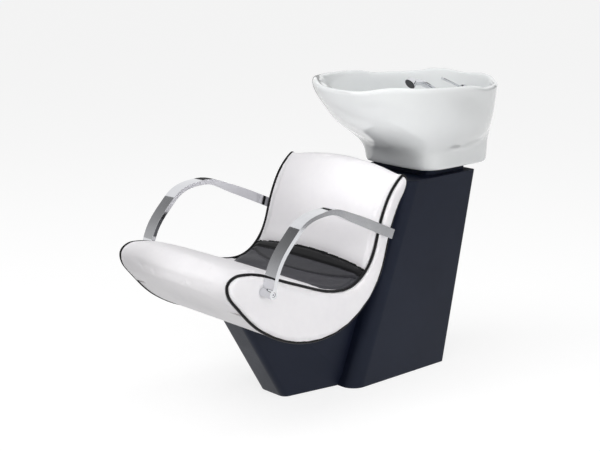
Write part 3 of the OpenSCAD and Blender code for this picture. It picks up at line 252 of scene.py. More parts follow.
class Effects:
    """Shared shader groups: even wear of a colour, and the fine reliefs.

    A ratio multiplies the pitch or the scale that a finish gives, a share is how much of a
    texture goes into the whole, and a band is the part of it that is stretched to 0 and 1.
    """

    SPECKLE_RATIO = 9.0
    CLOUD_SHARE, SPECKLE_SHARE = 0.75, 0.25
    COLOUR_BAND = (0.32, 0.68)
    ROUGH_BAND = (0.3, 0.7)
    WARP_RATIO, WARP_REACH = 0.5, 0.0012
    VALLEY_BAND = (0.0, 0.28)
    PORE_RATIO = 3.0
    PEBBLE_SHARE, PORE_SHARE = 0.8, 0.25
    STIPPLE_BAND, STIPPLE_SHARE = (0.4, 0.62), 0.8
    BROAD_RATIO, BROAD_SHARE = 0.22, 0.35
    BRUSH_STRETCH = (1.0, 1.0, 14.0)
    PLY_STRETCH = (0.12, 1.0, 1.0)

    def __init__(self) -> None:
        """Builds each group once."""
        self.patina = self._patina()
        self.reliefs = {
            Relief.GRAIN: self._grain(),
            Relief.STIPPLE: self._stipple(),
            Relief.POLISH: self._polish(),
            Relief.BRUSH: self._lines(Relief.BRUSH, self.BRUSH_STRETCH, Detail=3.0),
            Relief.PLY: self._lines(Relief.PLY, self.PLY_STRETCH, Detail=5.0, Distortion=0.6),
        }

    def _patina(self) -> bpy.types.NodeTree:
        """Clouds between two colours and two roughnesses, with a finer speckle."""
        kit, source, sink = new_group(
            "handled_patina",
            {"Vector": "Vector", "Colour": "Color", "Tint": "Color", "Scale": "Float",
             "Low": "Float", "High": "Float"},
            {"Colour": "Color", "Roughness": "Float"})
        place, scale = source.outputs["Vector"], source.outputs["Scale"]
        cloud = kit.noise(place, scale, Detail=3.0, Roughness=0.55)
        speckle = kit.noise(place, kit.math("MULTIPLY", scale, self.SPECKLE_RATIO), Detail=4.0)
        both = kit.blend(cloud.outputs[0], self.CLOUD_SHARE, speckle.outputs[0],
                         self.SPECKLE_SHARE)
        kit.feed(sink, "Colour", kit.mix(kit.span(both, *self.COLOUR_BAND),
                                         source.outputs["Colour"], source.outputs["Tint"]))
        kit.feed(sink, "Roughness", kit.span(both, *self.ROUGH_BAND, source.outputs["Low"],
                                             source.outputs["High"]))
        return kit.tree

    def _start(self, relief: Relief) -> tuple[NodeKit, bpy.types.Node, bpy.types.NodeSocket,
                                              bpy.types.NodeSocket]:
        """Starts a relief group: its kit, its output node, the place and the pitch."""
        kit, source, sink = new_group(relief.value, {"Vector": "Vector", "Pitch": "Float"},
                                      {"Height": "Float"})
        return kit, sink, source.outputs["Vector"], source.outputs["Pitch"]

    def _grain(self) -> bpy.types.NodeTree:
        """Pebbled cells of embossed vinyl, with fine pores between them."""
        kit, sink, place, pitch = self._start(Relief.GRAIN)
        warp = kit.noise(place, kit.math("MULTIPLY", pitch, self.WARP_RATIO), Detail=2.0)
        bent = kit.add("VectorMath", {"operation": "MULTIPLY_ADD"}, i0=warp.outputs["Color"],
                       i1=(self.WARP_REACH, self.WARP_REACH, self.WARP_REACH), i2=place)
        cells = kit.add("TexVoronoi", {"feature": "DISTANCE_TO_EDGE"},
                        Vector=bent.outputs[0], Scale=pitch)
        pores = kit.noise(place, kit.math("MULTIPLY", pitch, self.PORE_RATIO), Detail=2.0)
        pebbles = kit.span(cells.outputs["Distance"], *self.VALLEY_BAND)
        kit.feed(sink, "Height", kit.blend(pebbles, self.PEBBLE_SHARE, pores.outputs[0],
                                           self.PORE_SHARE))
        return kit.tree

    def _stipple(self) -> bpy.types.NodeTree:
        """Sparse fine grain of a moulded plastic skin."""
        kit, sink, place, pitch = self._start(Relief.STIPPLE)
        fine = kit.noise(place, pitch, Detail=3.0, Roughness=0.6)
        broad = kit.noise(place, kit.math("MULTIPLY", pitch, self.BROAD_RATIO), Detail=1.0)
        specks = kit.span(fine.outputs[0], *self.STIPPLE_BAND, 0.0, self.STIPPLE_SHARE)
        kit.feed(sink, "Height", kit.math(
            "ADD", specks, kit.math("MULTIPLY", broad.outputs[0], self.BROAD_SHARE)))
        return kit.tree

    def _polish(self) -> bpy.types.NodeTree:
        """Very soft waves of a polished or glazed surface."""
        kit, sink, place, pitch = self._start(Relief.POLISH)
        kit.feed(sink, "Height",
                 kit.noise(place, pitch, Detail=1.0, Roughness=0.35).outputs[0])
        return kit.tree

    def _lines(self, relief: Relief, stretch: Point, **inputs: float) -> bpy.types.NodeTree:
        """Noise squeezed into lines: of machined metal, or the figure of a veneer.

        Args:
            relief: The relief that is built.
            stretch: How much finer the lines are along each axis.
            inputs: Further inputs of the noise.

        Returns:
            The tree of the group.
        """
        kit, sink, place, pitch = self._start(relief)
        squeezed = kit.add("Mapping", Vector=place, Scale=stretch)
        kit.feed(sink, "Height", kit.noise(squeezed.outputs[0], pitch, **inputs).outputs[0])
        return kit.tree


@dataclass(frozen=True)
class Finish:
    """A surface finish of one material slot of the record.

    Attributes:
        colour: Its colour on screen, from 0 to 255.
        tint: The colour of its clouds.
        rough: Least and greatest roughness.
        pitch: How many times the relief repeats in a metre, about.
        clouds: How many clouds lie in a metre, about.
        painted_shade_colour: Colour of the painted shade in the insert's folds, where the fold
            shade attribute darkens it.
    """

    slot: str
    colour: Colour
    tint: Colour
    rough: tuple[float, float]
    relief: Relief
    pitch: float
    depth: float
    clouds: float = 9.0
    metallic: float = 0.0
    coat: float = 0.0
    coat_rough: float = 0.1
    specular: float = 0.5
    specular_tint: Colour = (1.0, 1.0, 1.0)
    strength: float = 0.6
    painted_shade_colour: Optional[Colour] = None

    def material(self, effects: Effects) -> bpy.types.Material:
        """Builds the material once.

        Args:
            effects: The shared shader groups.

        Returns:
            The material, new or built before.
        """
        name = self.slot + "_finish"
        if name in bpy.data.materials:
            return bpy.data.materials[name]
        material, kit = new_material(name)
        place = kit.add("TexCoord").outputs["Object"]
        worn = kit.add("Group", {"node_tree": effects.patina}, Vector=place,
                       Colour=linear(self.colour), Tint=linear(self.tint), Scale=self.clouds,
                       Low=self.rough[0], High=self.rough[1])
        colour = worn.outputs["Colour"]
        # Painted shade: the fold shade attribute darkens the colour where the insert's folds
        # would lie in shade.
        if self.painted_shade_colour:
            shade = kit.add("Attribute", {"attribute_name": SHADE}).outputs["Fac"]
            colour = kit.mix(shade, colour, linear(self.painted_shade_colour))
        fine = kit.add("Group", {"node_tree": effects.reliefs[self.relief]}, Vector=place,
                       Pitch=self.pitch)
        bump = kit.add("Bump", Height=fine.outputs["Height"], Strength=self.strength,
                       Distance=self.depth)
        kit.show(kit.add(
            "BsdfPrincipled", Base_Color=colour, Roughness=worn.outputs["Roughness"],
            Metallic=self.metallic, Coat_Weight=self.coat, Coat_Roughness=self.coat_rough,
            Specular_IOR_Level=self.specular, Specular_Tint=(*self.specular_tint, 1.0),
            Normal=bump.outputs[0]))
        return material


FINISHES = {finish.slot: finish for finish in (
    Finish("painted_steel", (52, 53, 56), (44, 45, 48), (0.42, 0.55), Relief.STIPPLE, 900,
           0.1 * MM),
    Finish("zinc", (176, 178, 182), (160, 162, 168), (0.28, 0.42), Relief.BRUSH, 260,
           0.02 * MM, metallic=1.0),
    Finish("chrome", (222, 223, 226), (212, 213, 217), (0.035, 0.075), Relief.POLISH, 26,
           0.03 * MM, metallic=1.0, clouds=14),
    Finish("moulded_base", (17, 22, 38), (14, 18, 32), (0.36, 0.46), Relief.STIPPLE, 950,
           0.06 * MM, specular=0.26, specular_tint=(0.78, 0.86, 1.0), clouds=5),
    Finish("plywood", (196, 160, 112), (172, 134, 88), (0.5, 0.65), Relief.PLY, 120,
           0.1 * MM, clouds=14),
    Finish("white_upholstery", (238, 236, 238), (232, 230, 233), (0.36, 0.46), Relief.GRAIN,
           620, 0.05 * MM, clouds=6, coat=0.06, coat_rough=0.3),
    # The charcoal insert carries near-black painted shade behind its creases.
    Finish("charcoal_upholstery", (62, 62, 67), (55, 55, 60), (0.34, 0.42), Relief.GRAIN,
           620, 0.05 * MM, clouds=7, specular=0.18, painted_shade_colour=(4, 4, 6)),
    Finish("black_piping", (11, 11, 13), (8, 8, 9), (0.34, 0.45), Relief.GRAIN, 800,
           0.04 * MM, clouds=20, specular=0.22),
    Finish("black_rubber", (34, 34, 36), (28, 28, 30), (0.6, 0.75), Relief.STIPPLE, 1200,
           0.08 * MM),
    Finish("nylon", (226, 223, 210), (216, 213, 200), (0.45, 0.55), Relief.STIPPLE, 900,
           0.04 * MM),
    Finish("ceramic", (236, 238, 238), (233, 235, 236), (0.045, 0.09), Relief.POLISH, 16,
           0.12 * MM, coat=0.35, coat_rough=0.03, clouds=4),
    Finish("copper", (206, 140, 104), (180, 112, 78), (0.24, 0.4), Relief.BRUSH, 240,
           0.02 * MM, metallic=1.0, clouds=25),
    Finish("dark_plastic", (38, 38, 42), (32, 32, 36), (0.35, 0.5), Relief.STIPPLE, 1300,
           0.05 * MM),
)}


class Workshop:
    """What every sub-assembly uses: the frame, the shared effects and the mesh helpers."""

    def __init__(self, frame: dict) -> None:
        """Keeps the frame and reads which slot and body each node has.
        """
        self.frame = frame
        self.effects = Effects()
        record = frame["record"]
        self.slots = {part["node"]: part["material_slot"] for part in record["subparts"]}
        self.bodies = {node: body for body, nodes in record["behaviour"]["bodies"].items()
                       for node in nodes}

    def dress(self, *nodes: str) -> None:
        """Gives carried-over nodes the finish of their own slot.

        Args:
            nodes: Names of the nodes.
        """
        for node in nodes:
            thing = self.frame["nodes"][node]
            material = FINISHES[self.slots[node]].material(self.effects)
            for place in thing.material_slots:
                place.material = material
            LOG.info("dressed %s in %s", node, self.slots[node])

    def welded(self, node: str) -> bmesh.types.BMesh:
        """Copies a node's mesh and merges its doubles.

        Args:
            node: Name of the node.

        Returns:
            The copy as a bmesh.
        """
        shape = bmesh.new()
        shape.from_mesh(self.frame["nodes"][node].data)
        bmesh.ops.remove_doubles(shape, verts=shape.verts, dist=WELD)
        return shape

    def squared(self, node: str) -> bmesh.types.BMesh:
        """Copies a node with pairs of triangles joined to four-sided faces.

        Args:
            node: Name of the node.

        Returns:
            The copy as a bmesh.
        """
        shape = self.welded(node)
        bmesh.ops.join_triangles(shape, faces=shape.faces, angle_face_threshold=JOIN_FACES,
                                 angle_shape_threshold=JOIN_SHAPES)
        return shape

    def soften(self, node: str, name: str, width: float, segments: int,
               sharp: float = 32.0, flat: float = 1.0) -> None:
        """Makes a piece that is its node with the sharp edges rounded.

        Args:
            node: Name of the node.
            name: Name of the piece.
            width: Width of the rounding.
            segments: Faces across the rounding.
            sharp: Least angle of an edge that is rounded, in degrees.
            flat: Greatest angle between triangles that are merged, in degrees.
        """
        shape = self.welded(node)
        bmesh.ops.dissolve_limit(shape, angle_limit=math.radians(flat), verts=shape.verts,
                                 edges=shape.edges, use_dissolve_boundaries=False)
        edges = [edge for edge in shape.edges
                 if edge.is_manifold and edge.calc_face_angle(0.0) > math.radians(sharp)]
        bmesh.ops.bevel(shape, geom=edges, offset=width, offset_type="OFFSET",
                        segments=segments, profile=0.5, affect="EDGES", clamp_overlap=True,
                        material=-1)
        self.piece(shape, name, node)

    def piece(self, shape: bmesh.types.BMesh, name: str, *nodes: str,
              levels: int = 0) -> None:
        """Makes an object that stands for one or more nodes.

        Args:
            shape: The mesh, which is used up.
            name: Name of the piece.
            nodes: The nodes that it replaces; the first gives its body and slot.
            levels: Subdivision levels; without any, flat faces keep their flat look.
        """
        for face in shape.faces:
            face.smooth = True
        thing = meshed(shape, name)
        if levels:
            modifier = thing.modifiers.new("rounding", "SUBSURF")
            modifier.levels = modifier.render_levels = levels
        else:
            modifier = thing.modifiers.new("flat_faces", "WEIGHTED_NORMAL")
            modifier.keep_sharp = True
        self.publish(thing, *nodes)

    def publish(self, thing: bpy.types.Object, *nodes: str) -> None:
        """Dresses a piece, puts it on its body, and reports it.

        Args:
            thing: The piece.
            nodes: The nodes that it replaces; the first gives its body and slot.
        """
        slot = self.slots[nodes[0]]
        thing.data.materials.clear()
        thing.data.materials.append(FINISHES[slot].material(self.effects))
        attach(thing, self.bodies[nodes[0]])
        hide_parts(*nodes)
        LOG.info("built %s in place of %s: %d faces", thing.name, ", ".join(nodes),
                 len(thing.data.polygons))

    def tree(self, *nodes: str) -> BVHTree:
        """Makes one search tree over several nodes.

        Args:
            nodes: Names of the nodes.

        Returns:
            The tree, in the frame's axes.
        """
        joined = bmesh.new()
        for node in nodes:
            joined.from_mesh(self.frame["nodes"][node].data)
        found = BVHTree.FromBMesh(joined)
        joined.free()
        return found


@dataclass
class Padding:
    """One padded piece: what it is shaped from, and how far it may swell.

    Attributes:
        neighbours: Nodes that it keeps clear of.
        voxel: Grid of its even mesh.
        swell: How far any point may move out.
        start: Where each point lies before the cloth runs.
    """

    node: str
    name: str
    neighbours: tuple[str, ...]
    voxel: float
    swell: float
    fill: float
    pressure: float = 4.0
    smoothing: int = 3
    start: list[Vector] = field(default_factory=list)

    @property
    def side(self) -> bool:
        """Whether this is a side panel, outside the piping."""
        return self.node.startswith("side")


def side_padding(side: str) -> Padding:
    """Gives the padding of a side panel.

    Args:
        side: Which one, left or right.

    Returns:
        The padding.
    """
    return Padding("side_panel_" + side, "side_pad_" + side,
                   ("piping_" + side, "seat_board", "under_skin", "arm_foot_bolts",
                    "arm_rear_bolts", "arm_rear_spacers"),
                   voxel=4.5 * MM, swell=3.5 * MM, fill=0.85, pressure=3.0, smoothing=4)


@dataclass(frozen=True)
class Fold:
    """A sewn crease: where it lies along Y at the middle, and how far its ends bow back."""

    middle: float
    bow: float

    def behind(self, at: Vector, half: float) -> float:
        """Gives how far a point lies behind the crease.

        Args:
            at: The point.
            half: Half the width of the seat.

        Returns:
            The distance along Y, negative in front of the crease.
        """
        return at.y - self.middle - self.bow * (at.x / half) ** 2


@dataclass(frozen=True)
class Creases:
    """The insert's two creases, the roll of cover behind each, and their painted shade.

    Attributes:
        groove: Depth of each crease.
        groove_width: Half its width.
        roll_rise: Over what length the roll rises.
        roll_fall: Over what length it falls again.
        rear_painted_shade: Painted shade of the cover behind the rear crease, from 0 to 1.
        front_painted_shade: Painted shade just behind the front one.
        fade: How much of that painted shade is lost on the way to the rear crease.
        fade_rate: How soon it is lost.
    """

    front: Fold = Fold(-244 * MM, 50 * MM)
    rear: Fold = Fold(-191 * MM, 3 * MM)
    groove: float = 2.5 * MM
    groove_width: float = 3 * MM
    roll: float = 4 * MM
    roll_rise: float = 3 * MM
    roll_fall: float = 28 * MM
    rear_painted_shade: float = 0.97
    front_painted_shade: float = 0.5
    fade: float = 0.38
    fade_rate: float = 1.2
    least: float = 1 * MM

    def at(self, place: Vector, half: float) -> tuple[float, float]:
        """Gives the push and the painted shade at a point of the insert.

        Args:
            place: The point.
            half: Half the width of the seat.

        Returns:
            How far the cover is pushed out, and how dark its painted shade is, from 0 to 1.
        """
        push = 0.0
        front, rear = self.front.behind(place, half), self.rear.behind(place, half)
        for behind in (front, rear):
            push -= self.groove * math.exp(-(behind / self.groove_width) ** 2)
            if behind > 0:
                push += (self.roll * (1 - math.exp(-behind / self.roll_rise))
                         * math.exp(-behind / self.roll_fall))
        # Painted shade: near black behind the rear crease. Behind the front crease it is
        # darkest at the crease and lighter towards the rear one, as light falls on the roll.
        if rear > 0:
            return push, self.rear_painted_shade
        if front > 0:
            way = front / max(self.least, front - rear)
            return push, self.front_painted_shade - self.fade * min(1.0, way * self.fade_rate)
        return push, 0.0


@dataclass(frozen=True)
class Puckers:
    """Small gathers of the cover beside the piping, and slow waves all over it.

    Attributes:
        width: How far the gathers reach in from the piping.
        side_width: How far they reach on a side panel.
        side_share: How high they are there, beside the others.
        slant: How much the height counts in the way along the seam.
        jitter: How unevenly they follow each other.
        jitter_ratio: How much finer that unevenness is than the waves.
        waves: How many waves lie in a metre along each axis, about.
    """

    depth: float = 0.5 * MM
    pitch: float = 17 * MM
    width: float = 16 * MM
    side_width: float = 9 * MM
    side_share: float = 0.5
    slant: float = 1.3
    jitter: float = 2.5
    jitter_ratio: float = 3.0
    wave: float = 0.5 * MM
    waves: Point = (2.2, 9.0, 9.0)

    def push(self, at: Vector, edge: float, start: float) -> float:
        """Gives how far the cover is pushed out at a point.

        Args:
            at: The point.
            edge: Share of the gathers' height that it gets.
            start: The push that it has already.

        Returns:
            The whole push.
        """
        spot = Vector([value * scale for value, scale in zip(at, self.waves)])
        along = (at.y + self.slant * at.z) / self.pitch
        uneven = self.jitter * noise.noise(spot * self.jitter_ratio)
        start += self.depth * edge * (0.5 + 0.5 * math.sin(math.tau * along + uneven))
        return start + self.wave * noise.noise(spot)


@dataclass(frozen=True)
class Lift:
    """How the pads rise beside the piping.

    Attributes:
        width: Over what width it fades.
        depth: Distance from the boards at which it is whole.
        least: Share of the height from which the sides of a pad are held in.
    """

    height: float = 4.2 * MM
    width: float = 22 * MM
    depth: float = 14 * MM
    least: float = 0.1


@dataclass
class Upholstery:
    """Seat, back and side pads, their piping and the boards behind them.

    Attributes:
        edge_x: Half the width of the seat, where its pads meet the piping.
        corner: Least angle of an edge that is a corner of a pad, in degrees.
        longest: Length over which an edge along the profile is divided.
        across: Share of its length that such an edge may run across the seat.
        nearest: How many corner points draw on each point of the skin.
        draw_ratio: How far a corner's draw is felt, beside its length.
        draw_reach: How far it is felt at least.
        gap_share: Share of the gap to its neighbours that a point may take.
        edge_slack: How far past edge_x a point may swell.
        least_room: How far it may swell everywhere.
        tuck_reach: How far from a seam the cover is drawn in.
        long_tuck: The same for the back pad over the insert.
        tuck_gap: What is left between a cover and its neighbour.
        free_width: Distance from a seam at which the puckers are whole.
        in_share: Share of the gap that the surface work may push in.
        out_share: Share of the gap that it may push out.
    """

    shop: Workshop
    creases: Creases = Creases()
    puckers: Puckers = Puckers()
    lift: Lift = Lift()
    edge_x: float = 244 * MM
    corner: float = 42.0
    longest: float = 60 * MM
    across: float = 0.5
    cuts: int = 6
    form_levels: int = 2
    relax: float = 0.5
    nearest: int = 6
    draw_ratio: float = 2.2
    draw_reach: float = 4 * MM
    frames: int = 20
    quality: int = 4
    stiffness: float = 20.0
    gap_share: float = 0.42
    edge_slack: float = 0.3 * MM
    least_room: float = 0.1 * MM
    tucks: int = 2
    tuck_reach: float = 9 * MM
    long_tuck: float = 28 * MM
    tuck_gap: float = 0.4 * MM
    free_width: float = 12 * MM
    in_share: float = 0.5
    out_share: float = 0.4
    cover_levels: int = 1
    skin_edge: float = 0.8 * MM
    welt_levels: int = 2
    pads: tuple[Padding, ...] = (
        Padding("seat_cushion", "seat_pad",
                ("seat_board", "under_skin", "crook_insert", *PIPING),
                voxel=4.5 * MM, swell=6 * MM, fill=0.8),
        Padding("crook_insert", "insert_pad",
                ("seat_board", "seat_cushion", "back_cushion", *PIPING),
                voxel=3.2 * MM, swell=5 * MM, fill=0.75),
        Padding("back_cushion", "back_pad",
                ("seat_board", "under_skin", "crook_insert", *PIPING),
                voxel=4.5 * MM, swell=6 * MM, fill=0.8),
        side_padding("left"),
        side_padding("right"),
    )

    def build(self) -> None:
        """Builds and dresses every piece of the upholstery."""
        things = [self.blank(pad) for pad in self.pads]
        self.inflate(things)
        for pad, thing in zip(self.pads, things):
            self.settle(pad, thing)
            self.work_surface(pad, thing)
            self.shop.publish(thing, pad.node)
            modifier = thing.modifiers.new("smooth_cover", "SUBSURF")
            modifier.levels = modifier.render_levels = self.cover_levels
        for side in ("left", "right"):
            node = "piping_" + side
            self.shop.piece(self.shop.squared(node), "welt_" + side, node,
                            levels=self.welt_levels)
        self.shop.soften("under_skin", "under_cover", self.skin_edge, 2)
        self.shop.dress("seat_board")

    def blank(self, pad: Padding) -> bpy.types.Object:
        """Makes the even, closed starting mesh of a pad.

        Args:
            pad: The pad.

        Returns:
            An object with that mesh.
        """
        shape = self.shop.squared(pad.node)
        bmesh.ops.subdivide_edges(shape, edges=self.long_edges(shape), cuts=self.cuts,
                                  use_grid_fill=True)
        crease = shape.edges.layers.float.new("crease_edge")
        for edge in self.sharp(shape):
            edge[crease] = 1.0
        form = meshed(shape, pad.name + "_form")
        if not pad.side:
            rounding = form.modifiers.new("rounding", "SUBSURF")
            rounding.levels = rounding.render_levels = self.form_levels
        corners = self.corner_points(self.baked(form, "corners"), pad.voxel)
        remesh = form.modifiers.new("even_mesh", "REMESH")
        remesh.mode = "VOXEL"
        remesh.voxel_size = pad.voxel
        relax = form.modifiers.new("relax", "SMOOTH")
        relax.factor = self.relax
        relax.iterations = pad.smoothing
        even = self.baked(form, pad.name)
        self.draw_out(even, corners)
        bpy.data.objects.remove(form)
        pad.start[:] = [vertex.co.copy() for vertex in even.vertices]
        return placed(pad.name, even)

    def long_edges(self, shape: bmesh.types.BMesh) -> list[bmesh.types.BMEdge]:
        """Finds the long edges of a shape that run along the sitter's profile."""
        return [edge for edge in shape.edges if edge.calc_length() > self.longest
                and abs(edge.verts[0].co.x - edge.verts[1].co.x)
                < self.across * edge.calc_length()]

    def sharp(self, shape: bmesh.types.BMesh) -> list[bmesh.types.BMEdge]:
        """Finds the edges of a shape that are corners."""
        return [edge for edge in shape.edges if edge.is_manifold
                and edge.calc_face_angle(0.0) > math.radians(self.corner)]

    def corner_points(self, mesh: bpy.types.Mesh, pitch: float) -> list[Vector]:
        """Gives points along the corners of a pad.

        Args:
            mesh: The pad's smooth form, which is used up.
            pitch: Greatest distance between the points.

        Returns:
            The points.
        """
        shape = bmesh.new()
        shape.from_mesh(mesh)
        bpy.data.meshes.remove(mesh)
        points = []
        for edge in self.sharp(shape):
            first, last = (vertex.co.copy() for vertex in edge.verts)
            steps = math.ceil((last - first).length / pitch)
            points += [first.lerp(last, step / steps) for step in range(steps + 1)]
        shape.free()
        return points

    def draw_out(self, mesh: bpy.types.Mesh, corners: list[Vector]) -> None:
        """Draws a pad back out to its corners, which the even mesh wears away.

        Args:
            mesh: The even mesh of the pad.
            corners: Points along its corners.
        """
        skin = KDTree(len(mesh.vertices))
        for vertex in mesh.vertices:
            skin.insert(vertex.co, vertex.index)
        skin.balance()
        worn = KDTree(len(corners))
        pulls = []
        for corner in corners:
            foot = skin.find(corner)[0]
            worn.insert(foot, len(pulls))
            pulls.append(corner - foot)
        worn.balance()
        for vertex in mesh.vertices:
            total, weight = Vector(), 0.0
            for _, index, gap in worn.find_n(vertex.co, self.nearest):
                reach = self.draw_ratio * pulls[index].length + self.draw_reach
                share = max(0.0, 1 - gap / reach)
                total += pulls[index] * share * share
                weight += share
            if weight > 0:
                vertex.co += total / weight

    def baked(self, thing: bpy.types.Object, name: str) -> bpy.types.Mesh:
        """Returns a new mesh of an object as its modifiers leave it."""
        graph = bpy.context.evaluated_depsgraph_get()
        graph.update()
        mesh = bpy.data.meshes.new_from_object(thing.evaluated_get(graph))
        mesh.name = name
        return mesh

    def inflate(self, things: list[bpy.types.Object]) -> None:
        """Runs the cloth of all pads together and keeps its result.

        Args:
            things: The objects of the pads, in order.
        """
        for pad, thing in zip(self.pads, things):
            cloth = thing.modifiers.new("stuffing", "CLOTH")
            cloth.settings.use_pressure = True
            cloth.settings.uniform_pressure_force = pad.pressure
            cloth.settings.effector_weights.gravity = 0.0
            cloth.settings.quality = self.quality
            cloth.settings.tension_stiffness = self.stiffness
            cloth.settings.compression_stiffness = self.stiffness
            cloth.point_cache.frame_end = self.frames
        scene = bpy.context.scene
        for number in range(1, self.frames + 1):
            scene.frame_set(number)
        for thing in things:
            swollen = self.baked(thing, thing.name)
            thing.modifiers.clear()
            for vertex, moved in zip(thing.data.vertices, swollen.vertices):
                vertex.co = moved.co
            bpy.data.meshes.remove(swollen)
        scene.frame_set(1)

    def settle(self, pad: Padding, thing: bpy.types.Object) -> None:
        """Caps how far each point has moved, and draws the seams in.

        Args:
            pad: The pad.
            thing: Its object.
        """
        near = self.shop.tree(*pad.neighbours)
        for vertex, start in zip(thing.data.vertices, pad.start):
            room = min(pad.swell, self.gap_share * near.find_nearest(start)[3])
            if not pad.side:
                beside = max(0.0, self.edge_x + self.edge_slack - abs(start.x))
                room = min(room, beside + self.least_room)
            move = vertex.co - start
            if move.length > room:
                vertex.co = start + move * (room / move.length)
        if pad.node == "back_cushion":
            self.tuck(thing, self.shop.tree("crook_insert"), self.long_tuck)
        for _ in range(self.tucks):
            self.tuck(thing, near, self.tuck_reach)

    def tuck(self, thing: bpy.types.Object, near: BVHTree, reach: float) -> None:
        """Draws the seams of a pad up to what they are sewn to.

        Args:
            thing: The object of the pad.
            near: Search tree of its neighbours.
            reach: How far from the seam the cover is drawn in.
        """
        for vertex in thing.data.vertices:
            foot, _, _, gap = near.find_nearest(vertex.co)
            if self.tuck_gap < gap < reach:
                share = gap / reach
                left = self.tuck_gap + (gap - self.tuck_gap) * share * share * (3 - 2 * share)
                vertex.co = foot + (vertex.co - foot) * (left / gap)

    def work_surface(self, pad: Padding, thing: bpy.types.Object) -> None:
        """Adds the creases of the insert and their painted shade, the puckers and the rise
        beside the piping.

        Args:
            pad: The pad.
            thing: Its object.
        """
        near = self.shop.tree(*pad.neighbours)
        boards = self.shop.tree("seat_board", "under_skin")
        normals = [vertex.normal.copy() for vertex in thing.data.vertices]
        shades = thing.data.attributes.new(SHADE, "FLOAT", "POINT")
        for vertex, normal in zip(thing.data.vertices, normals):
            gap = near.find_nearest(vertex.co)[3]
            push = 0.0
            if pad.node == "crook_insert":
                # The insert's painted shade goes into the fold shade attribute.
                push, shades.data[vertex.index].value = self.creases.at(vertex.co, self.edge_x)
            push = self.puckers.push(vertex.co, self.gathered(pad, vertex.co, gap), push)
            push *= min(1.0, gap / self.free_width)
            vertex.co = vertex.co + normal * max(-self.in_share * gap,
                                                 min(self.out_share * gap, push))
            if not pad.side:
                self.raise_edge(vertex, normal, boards)

    def gathered(self, pad: Padding, at: Vector, gap: float) -> float:
        """Gives the share of the gathers' height at a point.

        Args:
            pad: The pad.
            at: The point.
            gap: Its distance from the pad's neighbours.

        Returns:
            The share, from 0 to 1.
        """
        if pad.side:
            return math.exp(-gap / self.puckers.side_width) * self.puckers.side_share
        return math.exp(-max(0.0, self.edge_x - abs(at.x)) / self.puckers.width)

    def raise_edge(self, vertex: bpy.types.MeshVertex, normal: Vector,
                   boards: BVHTree) -> None:
        """Raises a point of a pad beside the piping, away from the boards.

        Args:
            vertex: The point.
            normal: The way out of the pad there.
            boards: Search tree of the boards.
        """
        out = Vector((0.0, normal.y, normal.z))
        inward = self.edge_x - abs(vertex.co.x)
        rise = self.lift.height * math.exp(-(inward / self.lift.width) ** 2)
        above = boards.find_nearest(vertex.co)[3]
        rise *= min(1.0, above / self.lift.depth) * out.length
        vertex.co += out * rise
        if rise > self.lift.least * self.lift.height:
            vertex.co.x = max(-self.edge_x, min(self.edge_x, vertex.co.x))


@dataclass
class ArmPair:
    """The two chrome arms and what holds them."""

    shop: Workshop
    edge: float = 1.3 * MM
    bolt_edge: float = 0.5 * MM
    sharp: float = 40.0
    flat: float = 0.3

    def build(self) -> None:
        """Builds both bars with rounded edges and dresses the fixings."""
        for side in ("left", "right"):
            self.shop.soften("arm_" + side, "arm_bar_" + side, self.edge, 3, self.sharp,
                             self.flat)
        self.shop.soften("arm_foot_bolts", "arm_bolts", self.bolt_edge, 2, self.sharp)
        self.shop.dress("arm_rear_spacers", "arm_rear_bolts")


@dataclass
class Base:
    """Moulded covers and the steel inside them."""

    shop: Workshop
    edge: float = 1.6 * MM
    sharp: float = 25.0
    hatch_edge: float = 0.6 * MM
    hatch_sharp: float = 40.0

    def build(self) -> None:
        """Rounds the covers and dresses the steel."""
        self.shop.soften("front_cover", "pedestal_shell", self.edge, 3, self.sharp)
        self.shop.soften("column_cover", "column_shell", self.edge, 3, self.sharp)
        self.shop.soften("access_panel", "rear_hatch", self.hatch_edge, 2, self.hatch_sharp)
        self.shop.dress("floor_plate", "column_frame", "seat_cradle", "cradle_bolts",
                        "access_screws", "tilt_bracket", "bracket_bolts", "pivot_bushes")


@dataclass
class BasinUnit:
    """The glazed basin with its drain and the carrier under it."""

    shop: Workshop
    levels: int = 2

    def build(self) -> None:
        """Smooths the ceramic and dresses what is under it."""
        self.shop.piece(self.shop.squared("basin"), "glazed_bowl", "basin",
                        levels=self.levels)
        self.shop.dress("basin_carrier", "carrier_pads", "pivot_pins", "drain_gasket",
                        "drain_flange", "drain_nut", "hair_strainer")


@dataclass
class Taps:
    """Mixer and hand shower on the ledge of the basin.

    Attributes:
        chrome: Node, name and rounding in millimetres of each visible piece.
    """

    shop: Workshop
    sharp: float = 35.0
    chrome: tuple[tuple[str, str, float], ...] = (
        ("mixer_body", "mixer_barrel", 0.8), ("mixer_cap", "mixer_dome", 0.5),
        ("mixer_lever", "mixer_handle", 0.4), ("shower_socket", "shower_holder", 0.8),
        ("hand_shower", "shower_handset", 0.8), ("spray_plate", "spray_face", 0.4))

    def build(self) -> None:
        """Rounds the visible chrome and dresses the rest."""
        for node, name, width in self.chrome:
            self.shop.soften(node, name, width * MM, 2, self.sharp)
        self.shop.dress("mixer_nut", "inlet_tails", "socket_nut")


@dataclass(frozen=True)
class Lamp:
    """A square lamp that only lights.

    Attributes:
        power: Its power in watts.
        spread: Full angle of its beam in degrees.
    """

    name: str
    place: Point
    aim: Point
    size: float
    power: float
    spread: float = 180.0

    def hang(self) -> None:
        """Adds the lamp to the scene."""
        data = bpy.data.lights.new(self.name, "AREA")
        data.size = self.size
        data.energy = self.power
        data.spread = math.radians(self.spread)
        thing = placed(self.name, data)
        thing.location = self.place
        way = Vector(self.aim) - Vector(self.place)
        thing.rotation_euler = way.to_track_quat("-Z", "Y").to_euler()
        thing.visible_camera = thing.visible_glossy = False


